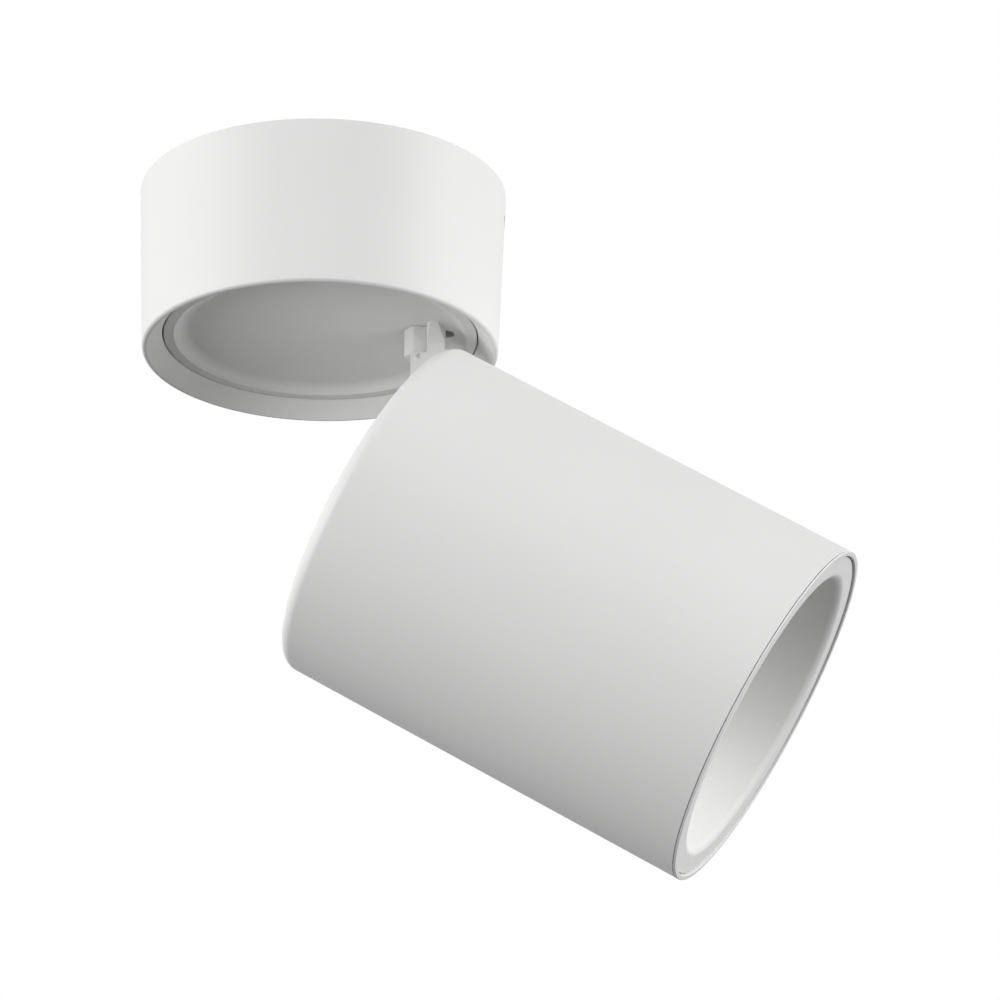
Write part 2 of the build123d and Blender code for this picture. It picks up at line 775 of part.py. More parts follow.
with BuildPart() as turntable_dish:
    with BuildSketch(Plane.XZ):
        with BuildLine():
            FilletPolyline(
                (0, dish_low),
                (lip_radius - dish_slope, dish_low),
                (lip_radius, bevel_z),
                (dish_radius, bevel_z),
                (dish_radius, skirt_top),
                (dish_radius - skirt_wall, skirt_top),
                (dish_radius - skirt_wall, dish_top),
                (shoulder_radius, dish_top),
                (shoulder_radius, shoulder_top),
                (hub_radius, shoulder_top),
                (hub_radius, hub_top),
                (hub_bore_radius, hub_top),
                (hub_bore_radius, dish_top),
                (0, dish_top),
                radius=[
                    *(0, dish_corner, fine_break, edge_break, edge_break),
                    *(0, 0, 0, 0, 0),
                    *(edge_break, edge_break, 0, 0),
                ],
                close=True,
            )
        make_face()
    revolve(axis=Axis.Z)
    # stop lug on the back
    with BuildSketch(Plane.XY.offset(dish_top)):
        with Locations((0, -stop_circle)):
            Rectangle(stop_lug_width, stop_lug_width)
    extrude(amount=partition_low - stop_lug_gap - dish_top)
    # channel for the leads, from the hub's bore out through the shoulder
    with BuildSketch(Plane.XY.offset(dish_top)):
        with Locations((shoulder_radius / 2, groove_y * shoulder_radius / groove_x / 2)):
            Rectangle(shoulder_radius + lead_tail, lead_channel)
    extrude(amount=shoulder_top - dish_top, mode=Mode.SUBTRACT)
    # holes for the leads and for the arm's screw
    with BuildSketch(Plane.XY.offset(dish_low)):
        with Locations((lead_hole_x, lead_hole_y)):
            Circle(lead_hole_radius)
    extrude(amount=dish_floor, mode=Mode.SUBTRACT)
    with Locations(Plane(origin=(nut_x, 0, dish_top))):
        CounterSinkHole(
            arm_screw_radius + 2 * thread_gap, arm_screw_head_radius + thread_gap, depth=dish_floor
        )
turntable_dish.part.label = "turntable_dish"
export_step(turntable_dish.part, "parts/turntable_dish.step")

with BuildPart() as slip_washer:
    add(ring(shoulder_radius, hub_radius + hub_clearance, shoulder_top, partition_low))
slip_washer.part.label = "slip_washer"
export_step(slip_washer.part, "parts/slip_washer.step")

with BuildPart() as fibre_washer:
    add(ring(washer_radius, hub_radius + hub_clearance, partition_top, fibre_top))
fibre_washer.part.label = "fibre_washer"
export_step(fibre_washer.part, "parts/fibre_washer.step")

with BuildPart() as disc_spring:
    with BuildSketch(Plane.XZ):
        with BuildLine():
            Polyline(
                (hub_radius + 2 * hub_clearance, spring_top - spring_sheet),
                (washer_radius, fibre_top),
                (washer_radius, fibre_top + spring_sheet),
                (hub_radius + 2 * hub_clearance, spring_top),
                close=True,
            )
        make_face()
    revolve(axis=Axis.Z)
disc_spring.part.label = "disc_spring"
export_step(disc_spring.part, "parts/disc_spring.step")

with BuildPart() as hub_washer:
    add(ring(washer_radius, hub_radius + hub_clearance, spring_top, washer_top))
hub_washer.part.label = "hub_washer"
export_step(hub_washer.part, "parts/hub_washer.step")

with BuildPart() as hub_nut:
    with BuildSketch(Plane.XY.offset(washer_top)):
        RegularPolygon(hub_nut_flats / 2, 6, major_radius=False)
        Circle(hub_radius + thread_gap, mode=Mode.SUBTRACT)
    extrude(amount=hub_nut_height)
    chamfer(hub_nut.faces().sort_by(Axis.Z)[-1].outer_wire().edges(), hub_nut_chamfer)
hub_nut.part.label = "hub_nut"
export_step(hub_nut.part, "parts/hub_nut.step")

with BuildPart() as hub_grommet:
    add(ring(hub_bore_radius, hub_bore_radius - grommet_wall, hub_top - grommet_height, hub_top))
hub_grommet.part.label = "hub_grommet"
export_step(hub_grommet.part, "parts/hub_grommet.step")

# ---------------------------------------------------------------- arm

with BuildPart() as arm_nut:
    with BuildSketch(Plane.XY.offset(ledge_z)):
        with Locations((nut_x, 0)):
            RegularPolygon(nut_flats / 2, 6, major_radius=False, rotation=nut_turn)
            Circle(arm_screw_radius + thread_gap, mode=Mode.SUBTRACT)
    extrude(amount=nut_height)
    for end in (arm_nut.faces().sort_by(Axis.Z)[0], arm_nut.faces().sort_by(Axis.Z)[-1]):
        chamfer(end.outer_wire().edges(), nut_chamfer)
arm_nut.part.label = "arm_nut"
export_step(arm_nut.part, "parts/arm_nut.step")

screw_end = ledge_z - arm_screw_bite
with BuildPart() as arm_screw:
    with BuildSketch(Plane.XZ):
        with BuildLine():
            Polyline(
                (0, dish_top),
                (arm_screw_head_radius, dish_top),
                (arm_screw_radius, dish_top - arm_screw_head_radius + arm_screw_radius),
                (arm_screw_radius, screw_end),
                (0, screw_end),
                close=True,
            )
        make_face()
    revolve(axis=Axis.Z)
    with BuildSketch(Plane.XY.offset(dish_top)):
        RegularPolygon(arm_screw_radius * 0.6, 6)
    extrude(amount=-arm_screw_radius * 0.7, mode=Mode.SUBTRACT)
arm_screw.part = arm_screw.part.moved(Location((nut_x, 0, 0)))
arm_screw.part.label = "arm_screw"
export_step(arm_screw.part, "parts/arm_screw.step")

with BuildPart() as web_foot:
    with BuildSketch(Plane.YZ.offset(web_left)):
        with BuildLine():
            Polyline(
                (-arm_half, dish_low),
                (-arm_half - foot_run, dish_low),
                (-arm_half, dish_low - foot_rise),
                close=True,
            )
        make_face()
    extrude(amount=web_right - web_left)
    chamfer(web_foot.edges().filter_by(Axis((0, 0, 0), (0, -foot_run, foot_rise))), foot_chamfer)

groove_bend_z = pivot_z + groove_rise
with BuildPart() as hinge_arm:
    with BuildSketch(Plane.XZ.offset(-arm_half)):
        with BuildLine():
            FilletPolyline(
                (web_left, dish_low),
                (web_right, dish_low),
                (web_right, pivot_z + knee_rise),
                (pivot_x - neck_run, pivot_z + neck_rise),
                (pivot_x - toe_run, pivot_z - toe_drop),
                (arm_left + heel_run, pivot_z - heel_drop),
                (arm_left, pivot_z + heel_rise),
                (arm_left, ledge_z),
                (web_left, ledge_z),
                radius=[0, 0, arm_round, 0, 0, arm_round, heel_round, ledge_round, 0],
                close=True,
            )
        make_face()
        with Locations((pivot_x, pivot_z)):
            Circle(eye_radius)
    extrude(amount=arm_thickness)
    with BuildSketch(Plane.XZ.offset(-arm_half)):
        with Locations((pivot_x, pivot_z)):
            Circle(pin_radius + pin_clearance)
    extrude(amount=arm_thickness, mode=Mode.SUBTRACT)
    with BuildSketch(Plane.XY.offset(ledge_z)):
        with Locations((nut_x, 0)):
            Circle(arm_screw_radius + thread_gap)
    extrude(amount=-arm_screw_bite - drill_point, mode=Mode.SUBTRACT)
    with BuildSketch(Plane.XY.offset(ledge_z)):
        with Locations((nut_x, 0)):
            Circle(nut_flats / sqrt(3) + nut_relief)
    extrude(amount=nut_height, mode=Mode.SUBTRACT)
    add(web_foot.part)
    # groove for the leads in the far side
    with BuildSketch(Plane.XZ.offset(-arm_half)):
        with BuildLine():
            Polyline(
                (groove_x, dish_low),
                (groove_x, groove_bend_z),
                (pivot_x - groove_end, pivot_z),
            )
        trace(line_width=groove_width)
    extrude(amount=groove_depth, mode=Mode.SUBTRACT)
hinge_arm.part.label = "hinge_arm"
export_step(hinge_arm.part, "parts/hinge_arm.step")

# Two leads lie on the dish's back, go down through its hole and run in the arm's groove.
with BuildPart() as arm_leads:
    for shift in (-lead_pair / 2, lead_pair / 2):
        add(
            lead(
                [
                    (0, shift, hub_top - grommet_height - lead_tail),
                    (0, shift, lead_z),
                    (groove_x, groove_y + shift, lead_z),
                    (groove_x, groove_y + shift, groove_bend_z),
                    (pivot_x - groove_end, groove_y + shift, pivot_z),
                ],
                lead_radius,
                [lead_bend, hole_bend, groove_bend],
            )
        )
arm_leads.part.label = "arm_leads"
export_step(arm_leads.part, "parts/arm_leads.step")

# ---------------------------------------------------------------- head shell

with BuildPart() as head_shell:
    with BuildSketch(head_section):
        with BuildLine():
            FilletPolyline(
                (0, 0),
                (head_rear_radius, 0),
                (widen(head_rear_radius, head_front_radius, tube_end), tube_end),
                (ring_bore + ring_wall + ring_fit, tube_end),
                (ring_bore + ring_wall + ring_fit, seat_z),
                (front_bore, seat_z),
                (widen(rear_bore, front_bore, rear_wall), rear_wall),
                (0, rear_wall),
                radius=[0, head_round, ring_round / 2, 0, 0, 0, root_round, 0],
                close=True,
            )
        make_face()
    revolve(axis=head_axis)
    # bosses for the heat sink
    for angle in boss_angles:
        with BuildSketch(head_plane(boss_circle, angle, rear_wall / 2)):
            Circle(boss_radius)
        extrude(amount=plate_rear - rear_wall / 2)
    for angle in boss_angles:
        with BuildSketch(head_plane(boss_circle, angle, plate_rear)):
            Circle(m3_radius + thread_gap)
        extrude(amount=-boss_thread, mode=Mode.SUBTRACT)
    # slot that the arm passes through, open over the rounded edge
    slot_reach = head_rear_radius + root_round - slot_start
    with BuildSketch(head):
        with Locations((slot_start + slot_reach / 2, 0)):
            Rectangle(slot_reach, arm_thickness + 2 * slot_side_gap)
    extrude(amount=rear_wall, mode=Mode.SUBTRACT)
    # relief around the arm's eye
    relief_end = pivot_x + eye_radius + eye_relief
    with BuildSketch(head.offset(rear_wall)):
        with Locations(((pivot_x + relief_end) / 2, 0)):
            Rectangle(relief_end - pivot_x, 2 * cheek_inner)
    extrude(amount=pivot_depth + eye_radius + eye_relief - rear_wall, mode=Mode.SUBTRACT)
    # tapped holes for the hinge plate
    with BuildSketch(head.offset(rear_wall)):
        for x in hinge_screw_x:
            with Locations((x, hinge_screw_y), (x, -hinge_screw_y)):
                Circle(m3_radius + thread_gap)
    extrude(amount=-hinge_screw_bite, mode=Mode.SUBTRACT)
head_shell.part.label = "head_shell"
export_step(head_shell.part, "parts/head_shell.step")

# ---------------------------------------------------------------- friction hinge in the head

plate_start = slot_start - hinge_plate_bridge
plate_reach = rear_bore - plate_start
with BuildPart() as hinge_cheeks:
    with BuildSketch(head.offset(rear_wall)):
        with Locations((plate_start + plate_reach / 2, 0)):
            Rectangle(plate_reach, hinge_plate_width)
        with Locations((slot_start + plate_reach / 2, 0)):
            Rectangle(plate_reach, 2 * cheek_inner, mode=Mode.SUBTRACT)
    extrude(amount=hinge_plate)
    for side in (-cheek_outer, cheek_inner):
        with BuildSketch(head_section.offset(side)):
            with BuildLine():
                Polyline(
                    (pivot_x - cheek_length, rear_wall),
                    (pivot_x + cheek_radius, rear_wall),
                    (pivot_x + cheek_radius, pivot_depth),
                    (pivot_x, pivot_depth + cheek_radius),
                    (pivot_x - cheek_length, rear_wall + hinge_plate),
                    close=True,
                )
            make_face()
            with Locations((pivot_x, pivot_depth)):
                Circle(cheek_radius)
        extrude(amount=cheek_thickness)
    with BuildSketch(head_section.offset(-cheek_outer)):
        with Locations((pivot_x, pivot_depth)):
            Circle(pin_radius + pin_fit)
    extrude(amount=2 * cheek_outer, mode=Mode.SUBTRACT)
    with BuildSketch(head.offset(rear_wall)):
        for x in hinge_screw_x:
            with Locations((x, hinge_screw_y), (x, -hinge_screw_y)):
                Circle(m3_clearance)
    extrude(amount=hinge_plate, mode=Mode.SUBTRACT)
    with BuildSketch(head_section):
        with BuildLine():
            Polyline(
                (0, rear_wall),
                (rear_bore - hinge_fit - hinge_corner, rear_wall),
                (rear_bore - hinge_fit, rear_wall + hinge_corner),
                (rear_bore - hinge_fit, pivot_depth + 2 * cheek_radius),
                (0, pivot_depth + 2 * cheek_radius),
                close=True,
            )
        make_face()
    revolve(axis=head_axis, mode=Mode.INTERSECT)
hinge_cheeks.part.label = "hinge_cheeks"
export_step(hinge_cheeks.part, "parts/hinge_cheeks.step")

with BuildPart() as hinge_screws:
    for x in hinge_screw_x:
        for y in (-hinge_screw_y, hinge_screw_y):
            spot = head.from_local_coords((x, y, rear_wall + hinge_plate))
            seat = Plane(origin=spot, x_dir=across, z_dir=along)
            add(screw(seat, hinge_plate + hinge_screw_bite - drill_point))
hinge_screws.part.label = "hinge_screws"
export_step(hinge_screws.part, "parts/hinge_screws.step")

pin_half = cheek_outer + rivet_spring
with BuildPart() as pivot_pin:
    with BuildSketch(pivot_plane.offset(-pin_half)):
        Circle(pin_radius)
    extrude(amount=2 * pin_half)
    for side in (-pin_half - rivet_height, pin_half):
        with BuildSketch(pivot_plane.offset(side)):
            Circle(rivet_radius)
        extrude(amount=rivet_height)
    fillet(pivot_pin.faces().sort_by(Axis.Y)[0].edges(), rivet_height * 0.6)
    fillet(pivot_pin.faces().sort_by(Axis.Y)[-1].edges(), rivet_height * 0.6)
pivot_pin.part.label = "pivot_pin"
export_step(pivot_pin.part, "parts/pivot_pin.step")

washer_near = arm_half + hinge_side_gap
with BuildPart() as pivot_washers:
    for low, high in (
        (-washer_near - friction_washer, -washer_near),
        (washer_near, washer_near + friction_washer),
    ):
        add(ring(friction_washer_radius, pin_radius + pin_fit, low, high, pivot_plane))
pivot_washers.part.label = "pivot_washers"
export_step(pivot_washers.part, "parts/pivot_washers.step")

with BuildPart() as pivot_springs:
    for low, high in ((-pin_half, -cheek_outer), (cheek_outer, pin_half)):
        add(ring(rivet_radius, pin_radius + pin_fit, low, high, pivot_plane))
pivot_springs.part.label = "pivot_springs"
export_step(pivot_springs.part, "parts/pivot_springs.step")

# ---------------------------------------------------------------- light engine

with BuildPart() as heat_sink:
    with BuildSketch(head.offset(plate_rear)):
        Circle(sink_radius - sink_gap)
    extrude(amount=sink_plate)
    with BuildSketch(head.offset(plate_rear)):
        with GridLocations(0, fin_pitch, 1, fin_count):
            Rectangle(2 * fin_circle, fin_thickness)
        Circle(fin_circle, mode=Mode.INTERSECT)
    extrude(amount=-fin_length)
    for angle in boss_angles:
        with BuildSketch(head_plane(boss_circle, angle, plate_rear)):
            Circle(m3_clearance)
        extrude(amount=sink_plate, mode=Mode.SUBTRACT)
    for angle in (0, 180):
        with BuildSketch(head_plane(holder_screw_circle, angle, plate_front)):
            Circle(m3_radius + thread_gap)
        extrude(amount=-holder_screw_bite - drill_point, mode=Mode.SUBTRACT)
    with BuildSketch(head_plane(head_lead_circle, head_lead_angle, plate_rear)):
        Circle(sink_lead_hole)
    extrude(amount=sink_plate, mode=Mode.SUBTRACT)
heat_sink.part.label = "heat_sink"
export_step(heat_sink.part, "parts/heat_sink.step")

with BuildPart() as heat_sink_screws:
    for angle in boss_angles:
        add(screw(head_plane(boss_circle, angle, plate_front), sink_plate + boss_thread * 0.8))
heat_sink_screws.part.label = "heat_sink_screws"
export_step(heat_sink_screws.part, "parts/heat_sink_screws.step")

with BuildPart() as thermal_pad:
    with BuildSketch(head.offset(plate_front)):
        Rectangle(pad_size, pad_size)
    extrude(amount=pad_thickness)
thermal_pad.part.label = "thermal_pad"
export_step(thermal_pad.part, "parts/thermal_pad.step")

led_rear = plate_front + pad_thickness
led_front = led_rear + led_thickness
with BuildPart() as led_module:
    with BuildSketch(head.offset(led_rear)):
        Rectangle(led_size, led_size)
    extrude(amount=led_thickness)
led_module.part.label = "led_module"
export_step(led_module.part, "parts/led_module.step")

with BuildPart() as led_emitter:
    with BuildSketch(head.offset(led_front)):
        Circle(emitter_radius)
    extrude(amount=emitter_height)
    fillet(led_emitter.faces().sort_by(head_axis)[-1].edges(), emitter_height * 0.7)
led_emitter.part.label = "led_emitter"
export_step(led_emitter.part, "parts/led_emitter.step")

with BuildPart() as led_holder:
    with BuildSketch(head.offset(plate_front)):
        Circle(holder_radius)
        Circle(holder_bore, mode=Mode.SUBTRACT)
    extrude(amount=holder_height)
    chamfer(led_holder.faces().sort_by(head_axis)[-1].outer_wire().edges(), holder_chamfer)
    with BuildSketch(head.offset(plate_front)):
        Rectangle(pad_size + 2 * led_pocket_gap, pad_size + 2 * led_pocket_gap)
    extrude(amount=pad_thickness + led_thickness + led_pocket_gap, mode=Mode.SUBTRACT)
    for angle in (0, 180):
        with BuildSketch(head_plane(holder_screw_circle, angle, plate_front)):
            Circle(m3_clearance)
        extrude(amount=holder_height, mode=Mode.SUBTRACT)
led_holder.part.label = "led_holder"
export_step(led_holder.part, "parts/led_holder.step")

with BuildPart() as led_holder_screws:
    for angle in (0, 180):
        top = head_plane(holder_screw_circle, angle, plate_front + holder_height)
        add(screw(top, holder_height + holder_screw_bite))
led_holder_screws.part.label = "led_holder_screws"
export_step(led_holder_screws.part, "parts/led_holder_screws.step")

# ---------------------------------------------------------------- optics

cup_slope = (cup_large_radius - cup_small_radius) / cup_height
with BuildPart() as reflector_cup:
    with BuildSketch(head_section):
        with BuildLine():
            Polyline(
                (cup_small_radius, cup_rear),
                (cup_flange, cup_rear),
                (cup_flange, cup_rear + cup_wall),
                (cup_small_radius + (cup_slope + cup_root) * cup_wall, cup_rear + cup_wall),
                (cup_large_radius + cup_wall, diffuser_rear),
                (cup_large_radius, diffuser_rear),
                close=True,
            )
        make_face()
    revolve(axis=head_axis)
reflector_cup.part.label = "reflector_cup"
export_step(reflector_cup.part, "parts/reflector_cup.step")

with BuildPart() as diffuser:
    with BuildSketch(head.offset(diffuser_rear)):
        Circle(diffuser_radius)
    extrude(amount=diffuser_thickness)
    chamfer(diffuser.faces().sort_by(head_axis)[0].edges(), fine_break)
diffuser.part.label = "diffuser"
export_step(diffuser.part, "parts/diffuser.step")

cone_back = diffuser_radius + diffuser_gap
with BuildPart() as baffle:
    with BuildSketch(head_section):
        with BuildLine():
            FilletPolyline(
                (lip_edge, lip_face),
                (aperture_radius, lip_face),
                (cone_small_radius, diffuser_front),
                (cone_back, diffuser_front),
                (cone_back, diffuser_rear),
                (cone_back + cone_wall, diffuser_rear),
                (aperture_radius + cone_wall, seat_z),
                (lip_edge, seat_z),
                radius=[edge_break, lip_round, 0, 0, 0, 0, lip_break, 0],
                close=True,
            )
        make_face()
    revolve(axis=head_axis)
baffle.part.label = "baffle"
export_step(baffle.part, "parts/baffle.step")

clip_circle = lip_edge - clip_inset
bow_z = seat_z - clip_bow
bow_radius = widen(rear_bore, front_bore, bow_z) - clip_sheet / 2 - clip_touch
with BuildPart() as clip:
    with BuildSketch(head_section.offset(-clip_width / 2)):
        with BuildLine():
            Polyline(
                (clip_circle, seat_z),
                (clip_circle, seat_z - clip_stem),
                (bow_radius - clip_splay, bow_z),
                (clip_circle + clip_splay, seat_z - clip_length),
            )
        trace(line_width=clip_sheet)
    extrude(amount=clip_width)
with BuildPart() as baffle_clips:
    for angle in clip_angles:
        add(clip.part.rotate(head_axis, angle))
baffle_clips.part.label = "baffle_clips"
export_step(baffle_clips.part, "parts/baffle_clips.step")

with BuildPart() as front_ring:
    with BuildSketch(head_section):
        with BuildLine():
            FilletPolyline(
                (ring_bore, seat_z),
                (ring_bore + ring_wall, seat_z),
                (ring_bore + ring_wall, head_length - ring_flange),
                (head_front_radius, head_length - ring_flange),
                (head_front_radius, head_length),
                (ring_bore, head_length),
                radius=[0, 0, 0, ring_fit, ring_round, ring_round],
                close=True,
            )
        make_face()
    revolve(axis=head_axis)
front_ring.part.label = "front_ring"
export_step(front_ring.part, "parts/front_ring.step")

# Two leads go from behind the slot, through the heat sink's plate, to the LED holder.
holder_mid = plate_front + holder_height / 2
with BuildPart() as head_leads:
    for shift in (-lead_pair / 2, lead_pair / 2):
        turn = radians(head_lead_angle)
        route = [
            head_lead_start,
            (head_lead_circle, head_lead_turn),
            (head_lead_circle, holder_mid),
            (sqrt(holder_radius**2 - shift**2), holder_mid),
        ]
        points = [
            head.from_local_coords(
                (r * cos(turn) - shift * sin(turn), r * sin(turn) + shift * cos(turn), z)
            )
            for r, z in route
        ]
        add(lead(points, lead_radius, lead_bend))
head_leads.part.label = "head_leads"
export_step(head_leads.part, "parts/head_leads.step")
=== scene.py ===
"""Surface mounted ceiling spotlight: looks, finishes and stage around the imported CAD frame."""

import json
from math import atan2, cos, hypot, pi, radians, sin, sqrt, tan

import bmesh
import bpy
from bpy.props import FloatProperty, FloatVectorProperty, IntProperty, PointerProperty
from mathutils import Matrix, Vector


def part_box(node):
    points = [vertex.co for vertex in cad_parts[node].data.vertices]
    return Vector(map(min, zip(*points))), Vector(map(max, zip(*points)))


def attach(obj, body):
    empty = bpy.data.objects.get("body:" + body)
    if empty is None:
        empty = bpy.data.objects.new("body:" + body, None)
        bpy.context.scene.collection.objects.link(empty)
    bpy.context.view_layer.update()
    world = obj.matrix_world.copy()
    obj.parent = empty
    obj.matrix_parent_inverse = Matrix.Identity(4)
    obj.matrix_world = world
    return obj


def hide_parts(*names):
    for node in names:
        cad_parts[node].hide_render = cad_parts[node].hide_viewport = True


bl_info = {
    "name": "Folding Ceiling Spotlight",
    "version": (1, 0, 0),
    "blender": (4, 5, 0),
    "location": "3D View > Sidebar > Spotlight",
    "description": "Models and finishes a surface mounted ceiling spotlight on its CAD frame",
    "category": "Mesh",
}

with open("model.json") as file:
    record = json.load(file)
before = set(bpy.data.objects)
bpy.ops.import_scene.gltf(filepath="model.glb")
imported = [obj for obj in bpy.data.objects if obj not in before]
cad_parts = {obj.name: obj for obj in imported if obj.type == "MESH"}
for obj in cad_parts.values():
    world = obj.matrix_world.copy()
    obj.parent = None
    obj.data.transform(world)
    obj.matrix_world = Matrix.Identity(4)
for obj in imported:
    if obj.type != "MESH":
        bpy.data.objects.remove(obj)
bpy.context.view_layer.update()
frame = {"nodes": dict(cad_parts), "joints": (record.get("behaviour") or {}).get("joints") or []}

MM = 0.001
SLACK = 0.02 * MM
JOINTS = {joint["name"]: joint for joint in frame["joints"]}
PIVOT = Vector(JOINTS["tilt"]["pos_m"])
TILT = -radians(JOINTS["tilt"]["range_deg"][0])


# ---------------------------------------------------------------- sizes and colours


def length_setting(name, description, millimetres):
    """A length setting."""
    return FloatProperty(
        name=name, description=description, default=millimetres * MM, unit="LENGTH"
    )


def colour_setting(name, description, default):
    """A colour setting."""
    return FloatVectorProperty(
        name=name, description=description, subtype="COLOR", size=3, default=default
    )


class DrumSizes(bpy.types.PropertyGroup):
    """The drum on the ceiling."""

    radius: length_setting("Radius", "Outside, at the ceiling", 50.0)
    rim_radius: length_setting("Rim radius", "Outside, at the lower rim", 48.4)
    height: length_setting("Height", "Ceiling to lower rim", 46.8)
    wall: length_setting("Wall", "Thickness of the wall", 3.0)
    land: length_setting("Land", "Flat ring on the rim", 1.3)
    bevel_width: length_setting("Bevel width", "Slope inside the rim", 4.1)
    bevel_depth: length_setting("Bevel depth", "Height of the slope", 4.4)
    pocket: length_setting("Pocket", "Depth above the slope", 7.9)
    partition: length_setting("Partition", "Floor under the wiring", 3.0)


class DishSizes(bpy.types.PropertyGroup):
    """The turntable's dish in the drum's underside."""

    gap: length_setting("Gap", "Ring gap to the drum", 0.4)
    lip: length_setting("Lip", "Width of the flat lip", 2.8)
    slope: length_setting("Slope", "Width of the slope", 2.6)
    depth: length_setting("Depth", "Lip up to the floor", 2.1)
    floor: length_setting("Floor", "Thickness of the floor", 2.4)
    lead_hole: length_setting("Lead hole", "Radius of the hole for the leads", 2.5)
    lead_hole_offset: length_setting("Lead hole offset", "From the hexagon's axis", 7.1)
    lead_hole_side: length_setting("Lead hole side", "Behind the lamp's middle", 2.4)


class ArmSizes(bpy.types.PropertyGroup):
    """The cast arm between the dish and the head."""

    thickness: length_setting("Thickness", "Across the hinge", 8.0)
    reach: length_setting("Ledge reach", "Hexagon's axis to the ledge's end", 2.0)
    web_near: length_setting("Web near", "Hexagon's axis to the web", 2.4)
    web_far: length_setting("Web far", "Hexagon's axis to the web's back", 7.2)
    knee_rise: length_setting("Knee", "Where the web ends, above the hinge", 5.9)
    heel_rise: length_setting("Heel", "Where the heel starts, above the hinge", 2.0)
    foot_run: length_setting("Foot run", "Web's foot, out in front", 2.2)
    foot_rise: length_setting("Foot rise", "Height of the web's foot", 5.4)
    eye: length_setting("Eye", "Radius round the hinge pin", 3.4)
    bore: length_setting("Bore", "Radius of the pin's bore", 1.8)
    edge: length_setting("Edge", "Rounding of the cast edges", 0.28)
    groove: length_setting("Groove", "Width and depth of the leads' groove", 3.0)
    groove_offset: length_setting("Groove offset", "From the hexagon's axis", 5.8)


class HeadSizes(bpy.types.PropertyGroup):
    """The tilting head."""

    length: length_setting("Length", "Rear face to front", 122.8)
    rear_radius: length_setting("Rear radius", "Outside, at the rear", 48.55)
    front_radius: length_setting("Front radius", "Outside, at the front", 49.2)
    rounding: length_setting("Rounding", "Of the rear edge", 3.8)
    wall: length_setting("Wall", "Thickness of the tube", 2.2)
    rear_wall: length_setting("Rear wall", "Thickness of the rear", 4.0)
    pivot_depth: length_setting("Pivot depth", "Rear face down to the hinge", 8.2)
    aperture: length_setting("Aperture", "Radius of the cone's mouth", 40.6)
    lip_round: length_setting("Lip round", "Soft edge of the cone's mouth", 2.6)
    cone_end: length_setting("Cone end", "Radius of the cone at the diffuser", 19.0)
    cone_depth: length_setting("Cone depth", "Lip to diffuser", 60.2)


class FinishColours(bpy.types.PropertyGroup):
    """Colours and grain of the finishes."""

    coat: colour_setting("Coat", "Powder coat", (0.83, 0.83, 0.825))
    baffle: colour_setting("Baffle", "Coat of the cone", (0.85, 0.85, 0.845))
    coat_grain: FloatProperty(
        name="Coat grain", description="Grains per metre", default=1500.0, min=10.0
    )
    backdrop: colour_setting("Backdrop", "Seen behind the lamp", (1, 1, 1))


class StageSizes(bpy.types.PropertyGroup):
    """Camera, lights and floor."""

    segments: IntProperty(
        name="Segments", description="Steps round a turned piece", default=192, min=32
    )
    distance: FloatProperty(
        name="Distance", description="Camera to the lamp", default=2.0, unit="LENGTH"
    )
    azimuth: FloatProperty(
        name="Azimuth",
        description="Camera turned round the lamp",
        default=radians(-2.04),
        subtype="ANGLE",
    )
    elevation: FloatProperty(
        name="Elevation",
        description="Camera looks up by",
        default=radians(22.28),
        subtype="ANGLE",
    )
    roll: FloatProperty(
        name="Roll",
        description="Camera turned about its view",
        default=radians(0.69),
        subtype="ANGLE",
    )
    floor: FloatProperty(
        name="Floor", description="Height of the floor", default=-2.6, unit="LENGTH"
    )


# ---------------------------------------------------------------- modelling helpers


def deselect():
    """Leaves nothing selected, in object mode."""
    if bpy.context.object and bpy.context.object.mode != "OBJECT":
        bpy.ops.object.mode_set(mode="OBJECT")
    bpy.ops.object.select_all(action="DESELECT")


def activate(piece):
    """Makes one piece the selected and active one."""
    deselect()
    piece.select_set(True)
    bpy.context.view_layer.objects.active = piece


def pick(piece, test, kind="EDGE"):
    """Selects the corners, edges or faces of the piece in edit mode that pass a test."""
    bpy.ops.mesh.select_mode(type=kind)
    bpy.ops.mesh.select_all(action="DESELECT")
    mesh = bmesh.from_edit_mesh(piece.data)
    parts = {"VERT": mesh.verts, "EDGE": mesh.edges, "FACE": mesh.faces}[kind]
    for part in parts:
        part.select_set(test(part))
    bmesh.update_edit_mesh(piece.data)


def at_place(x=None, y=None, z=None):
    """Test for corners, or whole edges and faces, that lie at these coordinates."""

    def test(part):
        corners = getattr(part, "verts", [part])
        return all(
            wanted is None or abs(corner.co[axis] - wanted) < SLACK
            for corner in corners
            for axis, wanted in enumerate((x, y, z))
        )

    return test


def on_ring(radius, height):
    """Test for edges that lie on the ring of that radius and height about Z."""

    def test(edge):
        return all(
            abs(hypot(corner.co.x, corner.co.y) - radius) < SLACK
            and abs(corner.co.z - height) < SLACK
            for corner in edge.verts
        )

    return test


def arc_offset(before, corner, after, radius):
    """Bevel width that gives this rounding radius where two runs of a profile meet."""
    first = atan2(corner[1] - before[1], corner[0] - before[0])
    second = atan2(after[1] - corner[1], after[0] - corner[0])
    turn = abs((second - first + pi) % (2 * pi) - pi)
    return radius * tan(turn / 2)


def new_piece(name):
    """Names the piece just added and puts its place into its mesh."""
    piece = bpy.context.object
    piece.name = name
    bpy.ops.object.transform_apply()
    return piece


